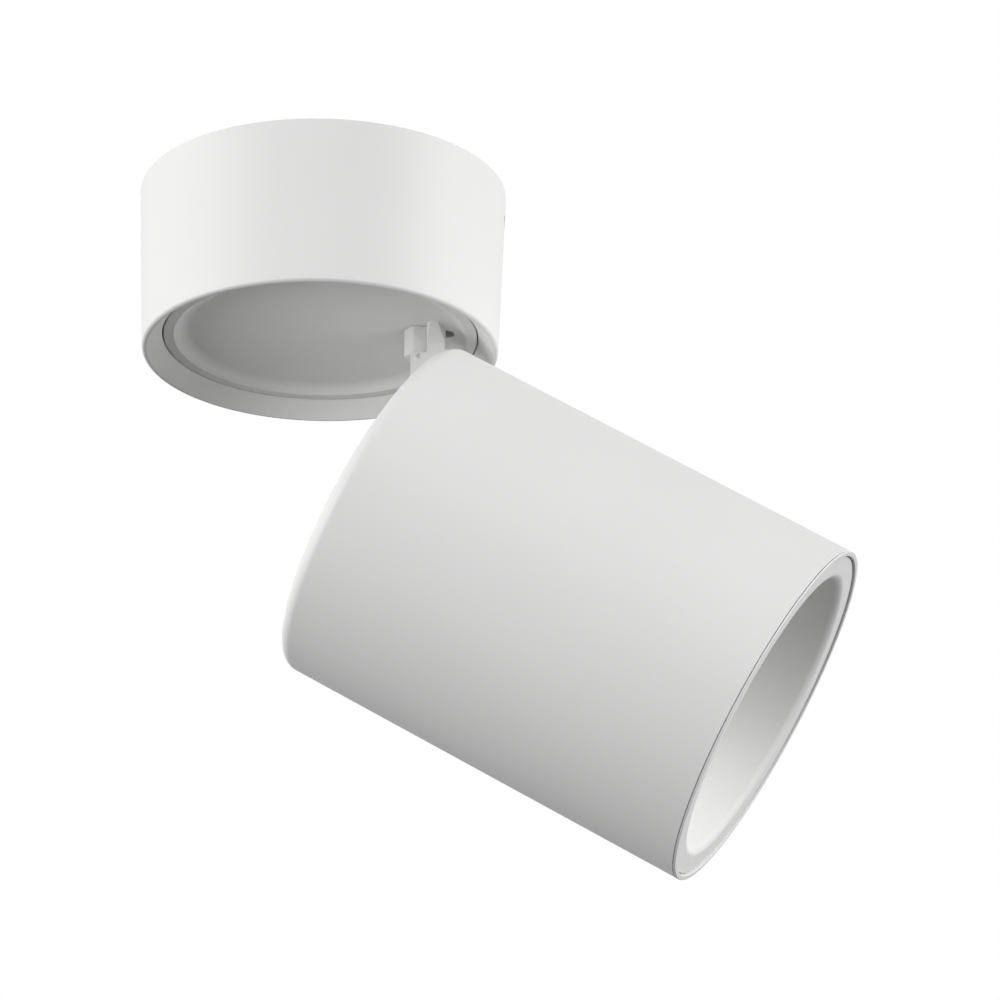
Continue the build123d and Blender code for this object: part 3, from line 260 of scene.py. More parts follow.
def turned(name, profile, closed=True):
    """Turns a profile of (radius, height, rounding) corners about Z, ring by ring.

    A closed profile is a ring-shaped piece. An open one ends in flat caps on the axis.
    """
    segments = bpy.context.scene.spot_stage.segments
    deselect()
    radius, height, _ = profile[0]
    bpy.ops.mesh.primitive_circle_add(vertices=segments, radius=radius, location=(0, 0, height))
    piece = new_piece(name)
    bpy.ops.object.mode_set(mode="EDIT")
    bpy.ops.mesh.select_all(action="SELECT")
    if not closed:
        bpy.ops.mesh.edge_face_add()
        pick(piece, on_ring(radius, height))
    for (wide, low, _), (next_wide, next_low, _) in zip(profile, profile[1:]):
        bpy.ops.mesh.extrude_edges_move(TRANSFORM_OT_translate={"value": (0, 0, next_low - low)})
        share = next_wide / wide
        bpy.ops.transform.resize(value=(share, share, 1), center_override=(0, 0, next_low))
    if closed:
        ends = (on_ring(*profile[0][:2]), on_ring(*profile[-1][:2]))
        pick(piece, lambda edge: any(end(edge) for end in ends))
        bpy.ops.mesh.bridge_edge_loops()
    else:
        bpy.ops.mesh.edge_face_add()
    following = profile[1:] + profile[:1]
    for before, corner, after in zip(profile[-1:] + profile[:-1], profile, following):
        wide, low, rounding = corner
        if not rounding:
            continue
        offset = arc_offset(before, corner, after, rounding)
        pick(piece, on_ring(wide, low))
        bpy.ops.mesh.bevel(
            offset=offset, offset_type="OFFSET", segments=6 if rounding > 0.5 * MM else 3
        )
    bpy.ops.mesh.select_all(action="SELECT")
    bpy.ops.mesh.normals_make_consistent(inside=False)
    bpy.ops.object.mode_set(mode="OBJECT")
    return piece


def block(name, low, high):
    """A box between two corners, used to cut with."""
    deselect()
    bpy.ops.mesh.primitive_cube_add(size=1, location=(Vector(low) + Vector(high)) / 2)
    bpy.context.object.scale = Vector(high) - Vector(low)
    return new_piece(name)


def rod(name, radius, low, high, place=(0, 0)):
    """An upright round bar, used to cut with."""
    deselect()
    bpy.ops.mesh.primitive_cylinder_add(
        vertices=48, radius=radius, depth=high - low, location=(*place, (low + high) / 2)
    )
    return new_piece(name)


def cross_rod(name, radius, centre, length):
    """A round bar along Y, through a point."""
    deselect()
    bpy.ops.mesh.primitive_cylinder_add(
        vertices=64, radius=radius, depth=length, location=centre, rotation=(pi / 2, 0, 0)
    )
    return new_piece(name)


def slanted_bar(name, start, end, width, near, far):
    """A square bar between two points of the XZ plane, from one Y to another."""
    run = Vector((end[0] - start[0], 0, end[1] - start[1]))
    middle = Vector(((start[0] + end[0]) / 2, (near + far) / 2, (start[1] + end[1]) / 2))
    deselect()
    bpy.ops.mesh.primitive_cube_add(size=1, location=middle)
    bpy.context.object.scale = (width, far - near, run.length)
    bpy.context.object.rotation_euler = (0, atan2(run.x, run.z), 0)
    return new_piece(name)


def combine(piece, tool, operation):
    """Applies a closed tool to a closed piece and removes the tool."""
    activate(piece)
    change = piece.modifiers.new("Change", "BOOLEAN")
    change.operation = operation
    change.solver = "EXACT"
    change.object = tool
    bpy.ops.object.modifier_apply(modifier=change.name)
    bpy.data.objects.remove(tool)


def cut(piece, *tools):
    """Takes the tools away from the piece."""
    for tool in tools:
        combine(piece, tool, "DIFFERENCE")


def settle(piece, place=None):
    """Puts the place into the mesh and shades round faces smooth and flat ones flat."""
    activate(piece)
    if place:
        piece.matrix_world = place
        bpy.ops.object.transform_apply()
    bpy.ops.object.shade_smooth_by_angle(angle=radians(32))
    weights = piece.modifiers.new("Weights", "WEIGHTED_NORMAL")
    weights.keep_sharp = True
    bpy.ops.object.modifier_apply(modifier=weights.name)


def head_place():
    """The head's own frame: Z from the rear face to the front, X towards the hinge."""
    sizes = bpy.context.scene.spot_head
    across = Vector((cos(TILT), 0, sin(TILT)))
    along = Vector((sin(TILT), 0, -cos(TILT)))
    rear = PIVOT - across * PIVOT.x - along * sizes.pivot_depth
    place = Matrix((across, along.cross(across), along)).transposed().to_4x4()
    place.translation = rear
    return place


# ---------------------------------------------------------------- finishes


def material(name, colour, roughness, metallic=0.0):
    """A new material and the parts of its node tree that every finish uses."""
    made = bpy.data.materials.new(name)
    made.use_nodes = True
    made.diffuse_color = (*colour, 1)
    nodes, links = made.node_tree.nodes, made.node_tree.links
    shader = nodes["Principled BSDF"]
    shader.inputs["Base Color"].default_value = (*colour, 1)
    shader.inputs["Roughness"].default_value = roughness
    shader.inputs["Metallic"].default_value = metallic
    places = nodes.new("ShaderNodeTexCoord")
    return made, nodes, links, shader, places.outputs["Object"]


def noise(nodes, links, places, scale, detail=2.0, stretch=None):
    """Noise on the piece's own coordinates, stretched along an axis if asked."""
    source = places
    if stretch:
        mapping = nodes.new("ShaderNodeMapping")
        mapping.inputs["Scale"].default_value = stretch
        links.new(places, mapping.inputs["Vector"])
        source = mapping.outputs["Vector"]
    texture = nodes.new("ShaderNodeTexNoise")
    texture.inputs["Scale"].default_value = scale
    texture.inputs["Detail"].default_value = detail
    links.new(source, texture.inputs["Vector"])
    return texture.outputs["Fac"]


def spread(nodes, links, value, low, high):
    """Maps noise, which stays near its middle, to a range."""
    ramp = nodes.new("ShaderNodeMapRange")
    ramp.inputs["From Min"].default_value = 0.3
    ramp.inputs["From Max"].default_value = 0.7
    ramp.inputs["To Min"].default_value = low
    ramp.inputs["To Max"].default_value = high
    links.new(value, ramp.inputs["Value"])
    return ramp.outputs["Result"]


def tint(nodes, links, value, dark, light, shader):
    """Mixes two colours by a value into the shader's base colour."""
    mix = nodes.new("ShaderNodeMix")
    mix.data_type = "RGBA"
    mix.inputs["A"].default_value = (*dark, 1)
    mix.inputs["B"].default_value = (*light, 1)
    links.new(value, mix.inputs["Factor"])
    links.new(mix.outputs["Result"], shader.inputs["Base Color"])


def relief(nodes, links, value, height, shader):
    """Bump of a real height, in metres."""
    bump = nodes.new("ShaderNodeBump")
    bump.inputs["Distance"].default_value = height
    bump.inputs["Strength"].default_value = 1.0
    links.new(value, bump.inputs["Height"])
    links.new(bump.outputs["Normal"], shader.inputs["Normal"])


def shade(colour, share):
    """The colour, lighter or darker."""
    return tuple(min(1.0, part * share) for part in colour)


def powder_coat(name, colour, grain, roughness=0.48, height=0.02 * MM):
    """Fine orange peel with a finer grain on it, and slow changes of gloss and tone."""
    made, nodes, links, shader, places = material(name, colour, roughness)
    peel = noise(nodes, links, places, grain, 3.0)
    slow = noise(nodes, links, places, grain / 40, 2.0)
    tint(nodes, links, slow, shade(colour, 0.985), shade(colour, 1.01), shader)
    gloss = spread(nodes, links, slow, roughness - 0.04, roughness + 0.05)
    links.new(gloss, shader.inputs["Roughness"])
    relief(nodes, links, peel, height, shader)
    shader.inputs["Specular IOR Level"].default_value = 0.4
    return made


def plain_metal(name, colour, roughness, scale=900.0, stretch=None, height=0.01 * MM):
    """Bare or plated metal with the marks of its making."""
    made, nodes, links, shader, places = material(name, colour, roughness, 1.0)
    marks = noise(nodes, links, places, scale, 3.0, stretch)
    cloud = noise(nodes, links, places, 120.0, 3.0)
    tint(nodes, links, cloud, shade(colour, 0.86), shade(colour, 1.06), shader)
    gloss = spread(nodes, links, marks, roughness - 0.08, roughness + 0.1)
    links.new(gloss, shader.inputs["Roughness"])
    relief(nodes, links, marks, height, shader)
    return made


def moulded(name, colour, roughness, scale=1200.0, height=0.015 * MM):
    """Moulded plastic or rubber with a fine texture."""
    made, nodes, links, shader, places = material(name, colour, roughness)
    fine = noise(nodes, links, places, scale, 2.0)
    cloud = noise(nodes, links, places, 90.0, 2.0)
    tint(nodes, links, cloud, shade(colour, 0.94), shade(colour, 1.03), shader)
    gloss = spread(nodes, links, fine, roughness - 0.05, roughness + 0.07)
    links.new(gloss, shader.inputs["Roughness"])
    relief(nodes, links, fine, height, shader)
    return made


def circuit_board(name, colour):
    """Solder resist over copper tracks, from a stretched cell pattern."""
    made, nodes, links, shader, places = material(name, colour, 0.35)
    cells = nodes.new("ShaderNodeTexVoronoi")
    cells.distance = "MANHATTAN"
    cells.inputs["Scale"].default_value = 260.0
    links.new(places, cells.inputs["Vector"])
    tracks = spread(nodes, links, cells.outputs["Distance"], 0.0, 1.0)
    tint(nodes, links, tracks, shade(colour, 1.5), colour, shader)
    relief(nodes, links, tracks, 0.03 * MM, shader)
    return made


def wound_tape(name, colour):
    """Tape wound round a coil: fine bands."""
    made, nodes, links, shader, places = material(name, colour, 0.4)
    bands = nodes.new("ShaderNodeTexWave")
    bands.bands_direction = "Z"
    bands.inputs["Scale"].default_value = 160.0
    bands.inputs["Distortion"].default_value = 1.2
    links.new(places, bands.inputs["Vector"])
    tint(nodes, links, bands.outputs["Fac"], shade(colour, 0.85), shade(colour, 1.05), shader)
    relief(nodes, links, bands.outputs["Fac"], 0.05 * MM, shader)
    return made


def striped_lead(name, colour, stripe):
    """Insulation in two colours, in stripes along the lead."""
    made, nodes, links, shader, places = material(name, colour, 0.42)
    wide = noise(nodes, links, places, 260.0, 0.0, (1.0, 0.08, 0.08))
    edge = nodes.new("ShaderNodeMath")
    edge.operation = "GREATER_THAN"
    edge.inputs[1].default_value = 0.52
    links.new(wide, edge.inputs[0])
    tint(nodes, links, edge.outputs["Value"], colour, stripe, shader)
    fine = noise(nodes, links, places, 1500.0, 2.0)
    relief(nodes, links, fine, 0.01 * MM, shader)
    return made


def opal_sheet(name, colour):
    """Diffusing sheet that lets some light through."""
    made, nodes, links, shader, places = material(name, colour, 0.35)
    shader.inputs["Subsurface Weight"].default_value = 0.4
    shader.inputs["Subsurface Scale"].default_value = 1.5 * MM
    fine = noise(nodes, links, places, 2500.0, 2.0)
    relief(nodes, links, fine, 0.01 * MM, shader)
    tint(nodes, links, fine, shade(colour, 0.97), colour, shader)
    return made


def choose_by_ray(nodes, links, rays, plain, seen):
    """Shows one shader to two kinds of ray, and the plain one to all others."""
    paths = nodes.new("ShaderNodeLightPath")
    either = nodes.new("ShaderNodeMath")
    either.operation = "MAXIMUM"
    for ray, socket in zip(rays, either.inputs):
        links.new(paths.outputs[ray], socket)
    choose = nodes.new("ShaderNodeMixShader")
    links.new(either.outputs["Value"], choose.inputs["Fac"])
    links.new(plain, choose.inputs[1])
    links.new(seen, choose.inputs[2])
    return choose.outputs["Shader"]


def dress(piece, finish):
    """Gives every face of the piece one finish."""
    piece.data.materials.clear()
    piece.data.materials.append(finish)


def finish_of(name):
    """A finish by its name."""
    return bpy.data.materials[name]


class FinishesOperator(bpy.types.Operator):
    """Mixes the lamp's finishes."""

    bl_idname = "spotlight.finishes"
    bl_label = "Finishes"

    def execute(self, context):
        colours = context.scene.spot_colours
        coat, baffle, grain = tuple(colours.coat), tuple(colours.baffle), colours.coat_grain
        powder_coat("white_coat", coat, grain)
        powder_coat("white_cone", baffle, grain * 1.1, roughness=0.6, height=0.035 * MM)
        powder_coat("white_cast_detail", coat, grain, roughness=0.5, height=0.03 * MM)
        plain_metal("turned_aluminium", (0.74, 0.75, 0.76), 0.32, 700.0, (1, 1, 8))
        plain_metal("zinc_plate", (0.70, 0.72, 0.74), 0.34)
        plain_metal("spring_temper", (0.42, 0.43, 0.46), 0.3, 600.0, (8, 1, 1))
        plain_metal("brass_contact", (0.78, 0.58, 0.27), 0.28)
        plain_metal("bright_reflector", (0.88, 0.89, 0.90), 0.12, 400.0, (1, 1, 6), 0.004 * MM)
        moulded("natural_nylon", (0.80, 0.79, 0.73), 0.45)
        moulded("red_fibre", (0.36, 0.13, 0.08), 0.7, 700.0, 0.03 * MM)
        moulded("black_rubber", (0.03, 0.03, 0.032), 0.7)
        moulded("terminal_white", (0.80, 0.81, 0.79), 0.3)
        moulded("driver_grey", (0.72, 0.73, 0.74), 0.5, 1400.0, 0.03 * MM)
        moulded("capacitor_black", (0.03, 0.035, 0.05), 0.25)
        moulded("brown_lead", (0.20, 0.08, 0.035), 0.4)
        moulded("white_lead", (0.74, 0.74, 0.71), 0.4)
        moulded("grey_pad", (0.42, 0.44, 0.47), 0.75)
        moulded("white_ceramic", (0.86, 0.86, 0.84), 0.5)
        moulded("holder_white", (0.86, 0.86, 0.84), 0.35)
        moulded("yellow_phosphor", (0.86, 0.66, 0.12), 0.3, 1800.0)
        circuit_board("green_board", (0.02, 0.13, 0.05))
        wound_tape("yellow_tape", (0.72, 0.50, 0.06))
        striped_lead("earth_stripes", (0.10, 0.32, 0.05), (0.75, 0.62, 0.05))
        opal_sheet("opal", (0.90, 0.90, 0.88))
        return {"FINISHED"}


CARRIED_OVER = {
    "zinc_plate": (
        "ceiling_bracket side_screws earth_screw terminal_screws terminal_fixing driver_screws "
        "stop_pin hub_washer hub_nut arm_screw hinge_screws hinge_cheeks pivot_pin "
        "heat_sink_screws led_holder_screws"
    ),
    "spring_temper": "disc_spring pivot_springs baffle_clips",
    "brass_contact": "earth_tag",
    "turned_aluminium": "heat_sink",
    "bright_reflector": "reflector_cup",
    "natural_nylon": "slip_washer pivot_washers",
    "red_fibre": "fibre_washer",
    "black_rubber": "hub_grommet",
    "terminal_white": "terminal_block",
    "driver_grey": "driver_case driver_lid",
    "green_board": "driver_board",
    "yellow_tape": "driver_transformer",
    "capacitor_black": "driver_capacitors",
    "brown_lead": "mains_leads",
    "white_lead": "output_leads arm_leads head_leads",
    "earth_stripes": "earth_lead",
    "grey_pad": "thermal_pad",
    "white_ceramic": "led_module",
    "yellow_phosphor": "led_emitter",
    "holder_white": "led_holder",
    "opal": "diffuser",
}


class HiddenPartsOperator(bpy.types.Operator):
    """Gives the parts that come straight from the CAD frame their finishes."""

    bl_idname = "spotlight.hidden_parts"
    bl_label = "Inner parts"

    def execute(self, context):
        for finish, names in CARRIED_OVER.items():
            for name in names.split():
                dress(frame["nodes"][name], finish_of(finish))
        return {"FINISHED"}


# ---------------------------------------------------------------- visible pieces


class DrumOperator(bpy.types.Operator):
    """Turns the drum, with its bevelled rim, pocket, partition and wiring space."""

    bl_idname = "spotlight.drum"
    bl_label = "Drum"

    def execute(self, context):
        sizes = context.scene.spot_drum
        hub_hole = 8.06 * MM
        screw_radius, screw_drop = 2.05 * MM, 8 * MM
        stop_radius, stop_place = 1.5 * MM, 36 * MM
        rim = -sizes.height
        bevel = rim + sizes.bevel_depth
        low = bevel + sizes.pocket
        top = low + sizes.partition
        pocket = sizes.rim_radius - sizes.land - sizes.bevel_width
        drum = turned(
            "drum",
            [
                (sizes.radius, 0, 0.3 * MM),
                (sizes.rim_radius, rim, 1.0 * MM),
                (sizes.rim_radius - sizes.land, rim, 0.2 * MM),
                (pocket, bevel, 0.3 * MM),
                (pocket, low, 0.5 * MM),
                (hub_hole, low, 0),
                (hub_hole, top, 0),
                (sizes.rim_radius - sizes.wall, top, 1.5 * MM),
                (sizes.radius - sizes.wall, 0, 0),
            ],
        )
        screw_hole = rod("screw_hole", screw_radius, -60 * MM, 60 * MM)
        screw_hole.matrix_world = Matrix.Translation((0, 0, -screw_drop)) @ Matrix.Rotation(
            pi / 2, 4, "Y"
        )
        stop_hole = rod("stop_hole", stop_radius, low - MM, top + MM, (0, stop_place))
        cut(drum, screw_hole, stop_hole)
        settle(drum)
        dress(drum, finish_of("white_coat"))
        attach(drum, "base")
        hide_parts("base_drum")
        return {"FINISHED"}


class DishOperator(bpy.types.Operator):
    """Turns the turntable's dish, with its skirt and hollow hub, and drills it."""

    bl_idname = "spotlight.dish"
    bl_label = "Turntable dish"

    def execute(self, context):
        drum, sizes = context.scene.spot_drum, context.scene.spot_dish
        lip_z = -drum.height + drum.bevel_depth
        floor_z = lip_z + sizes.depth
        back_z = floor_z + sizes.floor
        pocket_z = lip_z + drum.pocket
        edge = drum.rim_radius - drum.land - drum.bevel_width - sizes.gap
        inner = edge - sizes.lip
        hub_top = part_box("hub_grommet")[1][2]
        hub_radius, hub_bore, boss = 8 * MM, 5 * MM, 12 * MM
        skirt_top = pocket_z - 0.6 * MM
        skirt_inside = edge - 2 * MM
        boss_top = pocket_z - 0.5 * MM
        dish = turned(
            "dish",
            [
                (hub_bore, floor_z, 0),
                (inner - sizes.slope, floor_z, 5.0 * MM),
                (inner, lip_z, 0.2 * MM),
                (edge, lip_z, 0.3 * MM),
                (edge, skirt_top, 0.3 * MM),
                (skirt_inside, skirt_top, 0),
                (skirt_inside, back_z, 0),
                (boss, back_z, 0),
                (boss, boss_top, 0),
                (hub_radius, boss_top, 0),
                (hub_radius, hub_top, 0.3 * MM),
                (hub_bore, hub_top, 0.3 * MM),
                (hub_bore, back_z, 0),
            ],
            closed=False,
        )
        axis = nut_axis()
        hole = (axis + sizes.lead_hole_offset, sizes.lead_hole_side)
        lead_hole = rod("lead_hole", sizes.lead_hole, floor_z - MM, back_z + MM, hole)
        screw_hole = rod("screw_hole", 2.1 * MM, floor_z - MM, back_z + MM, (axis, 0))
        channel = block(
            "channel", (0, -1.5 * MM, back_z), (12.5 * MM, 2.5 * MM, pocket_z - 0.4 * MM)
        )
        cut(dish, lead_hole, screw_hole, channel)
        settle(dish)
        dress(dish, finish_of("white_coat"))
        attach(dish, "turntable")
        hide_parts("turntable_dish")
        return {"FINISHED"}


def nut_axis():
    """Where the hexagon's axis crosses X."""
    low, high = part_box("arm_nut")
    return (low[0] + high[0]) / 2


class NutOperator(bpy.types.Operator):
    """Makes the hexagon between dish and arm."""

    bl_idname = "spotlight.nut"
    bl_label = "Hexagon"

    def execute(self, context):
        low, high = (Vector(corner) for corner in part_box("arm_nut"))
        middle = (low + high) / 2
        across_flats = 7.0 * MM
        deselect()
        bpy.ops.mesh.primitive_cylinder_add(
            vertices=6,
            radius=across_flats / sqrt(3),
            depth=high.z - low.z,
            location=middle,
            rotation=(0, 0, radians(40.0)),
        )
        nut = new_piece("hexagon")
        bpy.ops.object.mode_set(mode="EDIT")
        bpy.ops.mesh.select_all(action="SELECT")
        bpy.ops.mesh.bevel(offset=0.35 * MM, segments=3)
        bpy.ops.object.mode_set(mode="OBJECT")
        settle(nut)
        dress(nut, finish_of("white_cast_detail"))
        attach(nut, "turntable")
        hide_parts("arm_nut")
        return {"FINISHED"}


RING_DEPTH = 2.4 * MM  # of the trim ring's seat in the tube


class HeadOperator(bpy.types.Operator):
    """Turns the head's tube and cuts the slot that the arm passes through."""

    bl_idname = "spotlight.head"
    bl_label = "Head"

    def execute(self, context):
        sizes = context.scene.spot_head
        end = sizes.length - 0.75 * MM
        seat = sizes.length - RING_DEPTH
        rebate = sizes.front_radius - 0.8 * MM
        grow = (sizes.front_radius - sizes.rear_radius) / sizes.length
        rear_bore = sizes.rear_radius - sizes.wall
        shell = turned(
            "head",
            [
                (1 * MM, 0, 0),
                (sizes.rear_radius, 0, sizes.rounding),
                (sizes.rear_radius + grow * end, end, 0.15 * MM),
                (rebate, end, 0),
                (rebate, seat, 0),
                (sizes.front_radius - sizes.wall, seat, 0),
                (rear_bore, sizes.rear_wall, 1.5 * MM),
                (1 * MM, sizes.rear_wall, 0),
            ],
            closed=False,
        )
        slot_start = nut_axis() - context.scene.spot_arm.reach - 0.6 * MM
        slot_half, relief_half = 4.4 * MM, 4.7 * MM
        relief_start, relief_end, relief_low = 42.6 * MM, 46.5 * MM, 12.1 * MM
        slot = block(
            "slot",
            (slot_start, -slot_half, -MM),
            (sizes.rear_radius + MM, slot_half, sizes.rear_wall),
        )
        relief_cut = block(
            "relief",
            (relief_start, -relief_half, sizes.rear_wall - 0.5 * MM),
            (relief_end, relief_half, relief_low),
        )
        cut(shell, slot, relief_cut)
        settle(shell, head_place())
        dress(shell, finish_of("white_coat"))
        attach(shell, "head")
        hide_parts("head_shell")
        return {"FINISHED"}


class FrontRingOperator(bpy.types.Operator):
    """Turns the thin trim ring on the end of the tube."""

    bl_idname = "spotlight.front_ring"
    bl_label = "Front ring"

    def execute(self, context):
        sizes = context.scene.spot_head
        outer, front = sizes.front_radius, sizes.length
        inner, step = outer - 1.4 * MM, outer - 0.85 * MM
        back, shoulder = front - RING_DEPTH, front - 0.5 * MM
        ring = turned(
            "trim_ring",
            [
                (inner, back, 0),
                (step, back, 0),
                (step, shoulder, 0),
                (outer, shoulder, 0.05 * MM),
                (outer, front, 0.2 * MM),
                (inner, front, 0.2 * MM),
            ],
        )
        settle(ring, head_place())
        dress(ring, finish_of("white_coat"))
        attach(ring, "head")
        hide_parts("front_ring")
        return {"FINISHED"}


class BaffleOperator(bpy.types.Operator):
    """Turns the lip and the deep cone behind it."""

    bl_idname = "spotlight.baffle"
    bl_label = "Baffle"

    def execute(self, context):
        sizes = context.scene.spot_head
        lip = sizes.length - 0.6 * MM
        edge = sizes.front_radius - 1.7 * MM
        seat = sizes.length - RING_DEPTH
        floor = lip - sizes.cone_depth
        back = floor - 2 * MM
        seat_radius = 20.1 * MM
        wall = 1.6 * MM
        baffle = turned(
            "cone",
            [
                (edge, lip, 0.3 * MM),
                (sizes.aperture, lip, sizes.lip_round),
                (sizes.cone_end, floor, 0),
                (seat_radius, floor, 0),
                (seat_radius, back, 0),
                (seat_radius + wall, back, 0),
                (sizes.aperture + wall, seat, 0.8 * MM),
                (edge, seat, 0),
            ],
        )
        settle(baffle, head_place())
        dress(baffle, finish_of("white_cone"))
        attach(baffle, "head")
        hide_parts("baffle")
        return {"FINISHED"}


class ArmOperator(bpy.types.Operator):
    """Shapes the cast arm: ledge, web with its foot, heel and eye, and the leads' groove."""

    bl_idname = "spotlight.arm"
    bl_label = "Hinge arm"

    def execute(self, context):
        sizes = context.scene.spot_arm
        half = sizes.thickness / 2
        axis = nut_axis()
        ledge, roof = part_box("arm_nut")[0][2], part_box("arm_nut")[1][2]
        left, near, far = axis - sizes.reach, axis + sizes.web_near, axis + sizes.web_far
        knee = PIVOT.z + sizes.knee_rise
        heel = PIVOT.z + sizes.heel_rise
        sole = (left + 4.0 * MM, PIVOT.z - 2.1 * MM)
        arm = block("arm", (left, -half, knee), (far, half, ledge))
        bpy.ops.object.mode_set(mode="EDIT")
        self.grow_heel(arm, (left, far), (knee, heel), sole)
        self.grow_web(arm, near, ledge, roof)
        self.shape_foot(arm, sizes, (near, far), ledge, roof)
        for (x, z), radius in (((far, knee), 2.0), (sole, 2.0), ((left, heel), 1.5)):
            pick(arm, at_place(x=x, z=z))
            bpy.ops.mesh.bevel(offset=radius * MM * 0.45, offset_type="OFFSET", segments=5)
        bpy.ops.object.mode_set(mode="OBJECT")
        eye_width = sizes.thickness + 0.02 * MM
        combine(arm, cross_rod("eye", sizes.eye, PIVOT, eye_width), "UNION")
        self.soften(arm, sizes.edge, roof)
        self.drill(arm, sizes, axis, ledge, roof)
        settle(arm)
        dress(arm, finish_of("white_cast_detail"))
        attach(arm, "turntable")
        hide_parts("hinge_arm")
        return {"FINISHED"}

    @staticmethod
    def shift(piece, test, move):
        """Moves the corners that pass a test."""
        pick(piece, test, "VERT")
        bpy.ops.transform.translate(value=move)

    def grow_heel(self, arm, ends, levels, sole):
        """Draws the underside down, out towards the hinge and in under the heel."""
        (left, far), (knee, heel) = ends, levels
        neck = (PIVOT.x - 2.5 * MM, PIVOT.z + 2.3 * MM)
        toe = (PIVOT.x - 0.5 * MM, PIVOT.z - 3.3 * MM)
        drop = sole[1] - heel
        pick(arm, lambda face: face.normal.z < -0.9, "FACE")
        bpy.ops.mesh.extrude_region_move(TRANSFORM_OT_translate={"value": (0, 0, heel - knee)})
        self.shift(arm, at_place(x=far, z=heel), (neck[0] - far, 0, neck[1] - heel))
        pick(arm, lambda face: face.normal.z < -0.9, "FACE")
        bpy.ops.mesh.extrude_region_move(TRANSFORM_OT_translate={"value": (0, 0, drop)})
        self.shift(arm, at_place(x=left, z=heel + drop), (sole[0] - left, 0, 0))
        self.shift(
            arm,
            at_place(x=neck[0], z=neck[1] + drop),
            (toe[0] - neck[0], 0, toe[1] - neck[1] - drop),
        )

    def grow_web(self, arm, near, ledge, roof):
        """Parts the ledge and draws the web up to the dish."""
        bpy.ops.mesh.select_all(action="SELECT")
        bpy.ops.mesh.bisect(plane_co=(near, 0, 0), plane_no=(1, 0, 0))
        pick(
            arm,
            lambda face: face.normal.z > 0.9 and face.calc_center_median().x > near,
            "FACE",
        )
        bpy.ops.mesh.extrude_region_move(TRANSFORM_OT_translate={"value": (0, 0, roof - ledge)})

    def shape_foot(self, arm, sizes, sides, ledge, roof):
        """Draws the web's foot forward, with a strip on its left and a slanted facet beside it."""
        near, far = sides
        front = -sizes.thickness / 2
        strip_width, facet_width, facet_back = 0.9 * MM, 1.9 * MM, 2.9 * MM
        strip, facet = near + strip_width, far - facet_width
        low = roof - sizes.foot_rise
        for place, normal in (
            ((0, 0, low), (0, 0, 1)),
            ((strip, 0, 0), (1, 0, 0)),
            ((facet, 0, 0), (1, 0, 0)),
        ):
            pick(arm, lambda face: face.calc_center_median().z > ledge + 0.1 * MM, "FACE")
            bpy.ops.mesh.bisect(plane_co=place, plane_no=normal)
        self.shift(arm, at_place(near, front, roof), (0, -0.6 * sizes.foot_run, 0))
        self.shift(arm, at_place(far, front, roof), (0, facet_back, 0))
        for x in (strip, facet):
            self.shift(arm, at_place(x, front, roof), (0, -sizes.foot_run, 0))
        top = front - sizes.foot_run
        for x, low_x in ((facet, far), (strip, near)):
            ends = (at_place(x, top, roof), at_place(low_x, front, low))
            pick(arm, lambda corner: any(end(corner) for end in ends), "VERT")
            bpy.ops.mesh.vert_connect()

    def soften(self, arm, edge, roof):
        """Rounds the cast edges, but not where the web meets the dish."""
        activate(arm)
        bpy.ops.object.mode_set(mode="EDIT")
        bpy.ops.mesh.select_all(action="SELECT")
        bpy.ops.mesh.remove_doubles(threshold=0.005 * MM)
        bpy.ops.mesh.dissolve_limited(angle_limit=radians(1.0))
        on_roof = at_place(z=roof)
        pick(
            arm,
            lambda side: len(side.link_faces) == 2
            and side.calc_face_angle() > radians(24)
            and not on_roof(side),
        )
        bpy.ops.mesh.bevel(offset=edge, offset_type="OFFSET", segments=3, clamp_overlap=True)
        bpy.ops.object.mode_set(mode="OBJECT")

    def drill(self, arm, sizes, axis, ledge, roof):
        """Cuts the bores, the room round the hexagon, the leads' groove and the set mark."""
        half = sizes.thickness / 2
        groove_x = axis + sizes.groove_offset
        bend = (groove_x, PIVOT.z + 1.5 * MM)
        end = (PIVOT.x - 4.8 * MM, PIVOT.z)
        inner = half - sizes.groove
        cut(
            arm,
            cross_rod("pin_bore", sizes.bore, PIVOT, 3 * sizes.thickness),
            rod("screw_bore", 2.05 * MM, ledge - 5.5 * MM, roof, (axis, 0)),
            rod("nut_room", 4.15 * MM, ledge, roof + MM, (axis, 0)),
            slanted_bar("groove", (groove_x, roof + MM), bend, sizes.groove, inner, half + MM),
            slanted_bar("groove_end", bend, end, sizes.groove, inner, half + MM),
            cross_rod("set_mark", 0.7 * MM, (axis + 0.2 * MM, -half, ledge - 1.1 * MM), 0.9 * MM),
        )


# ---------------------------------------------------------------- stage


# Name, place and power of each lamp.
LAMPS = (
    ("key_left", (-2.4, -1.2, -0.3), 54.0),
    ("fill_right", (2.4, -1.0, -0.3), 28.0),
    ("high_right", (2.4, -0.6, 0.9), 19.0),
)
LAMP_SIZE = 1.6
# Height on the unit sphere and level of the soft light round the lamp.
SKY = ((-1.0, 0.04), (-0.3, 0.04), (0.0, 0.40), (0.3, 0.96), (1.0, 0.30))
# The photograph's width, its fitted focal length and the point in it where the lamp's middle is.
PICTURE = 1000
FOCAL = 7420.0
SPOT = (502.69, 465.49)
SENSOR = 36.0


def area_lamp(name, place, target, power):
    """A soft square lamp that faces a target."""
    deselect()
    bpy.ops.object.light_add(type="AREA", location=place)
    lamp = bpy.context.object
    lamp.name = name
    lamp.data.size = LAMP_SIZE
    lamp.data.energy = power
    facing = Vector(target) - Vector(place)
    lamp.rotation_euler = facing.to_track_quat("-Z", "Y").to_euler()


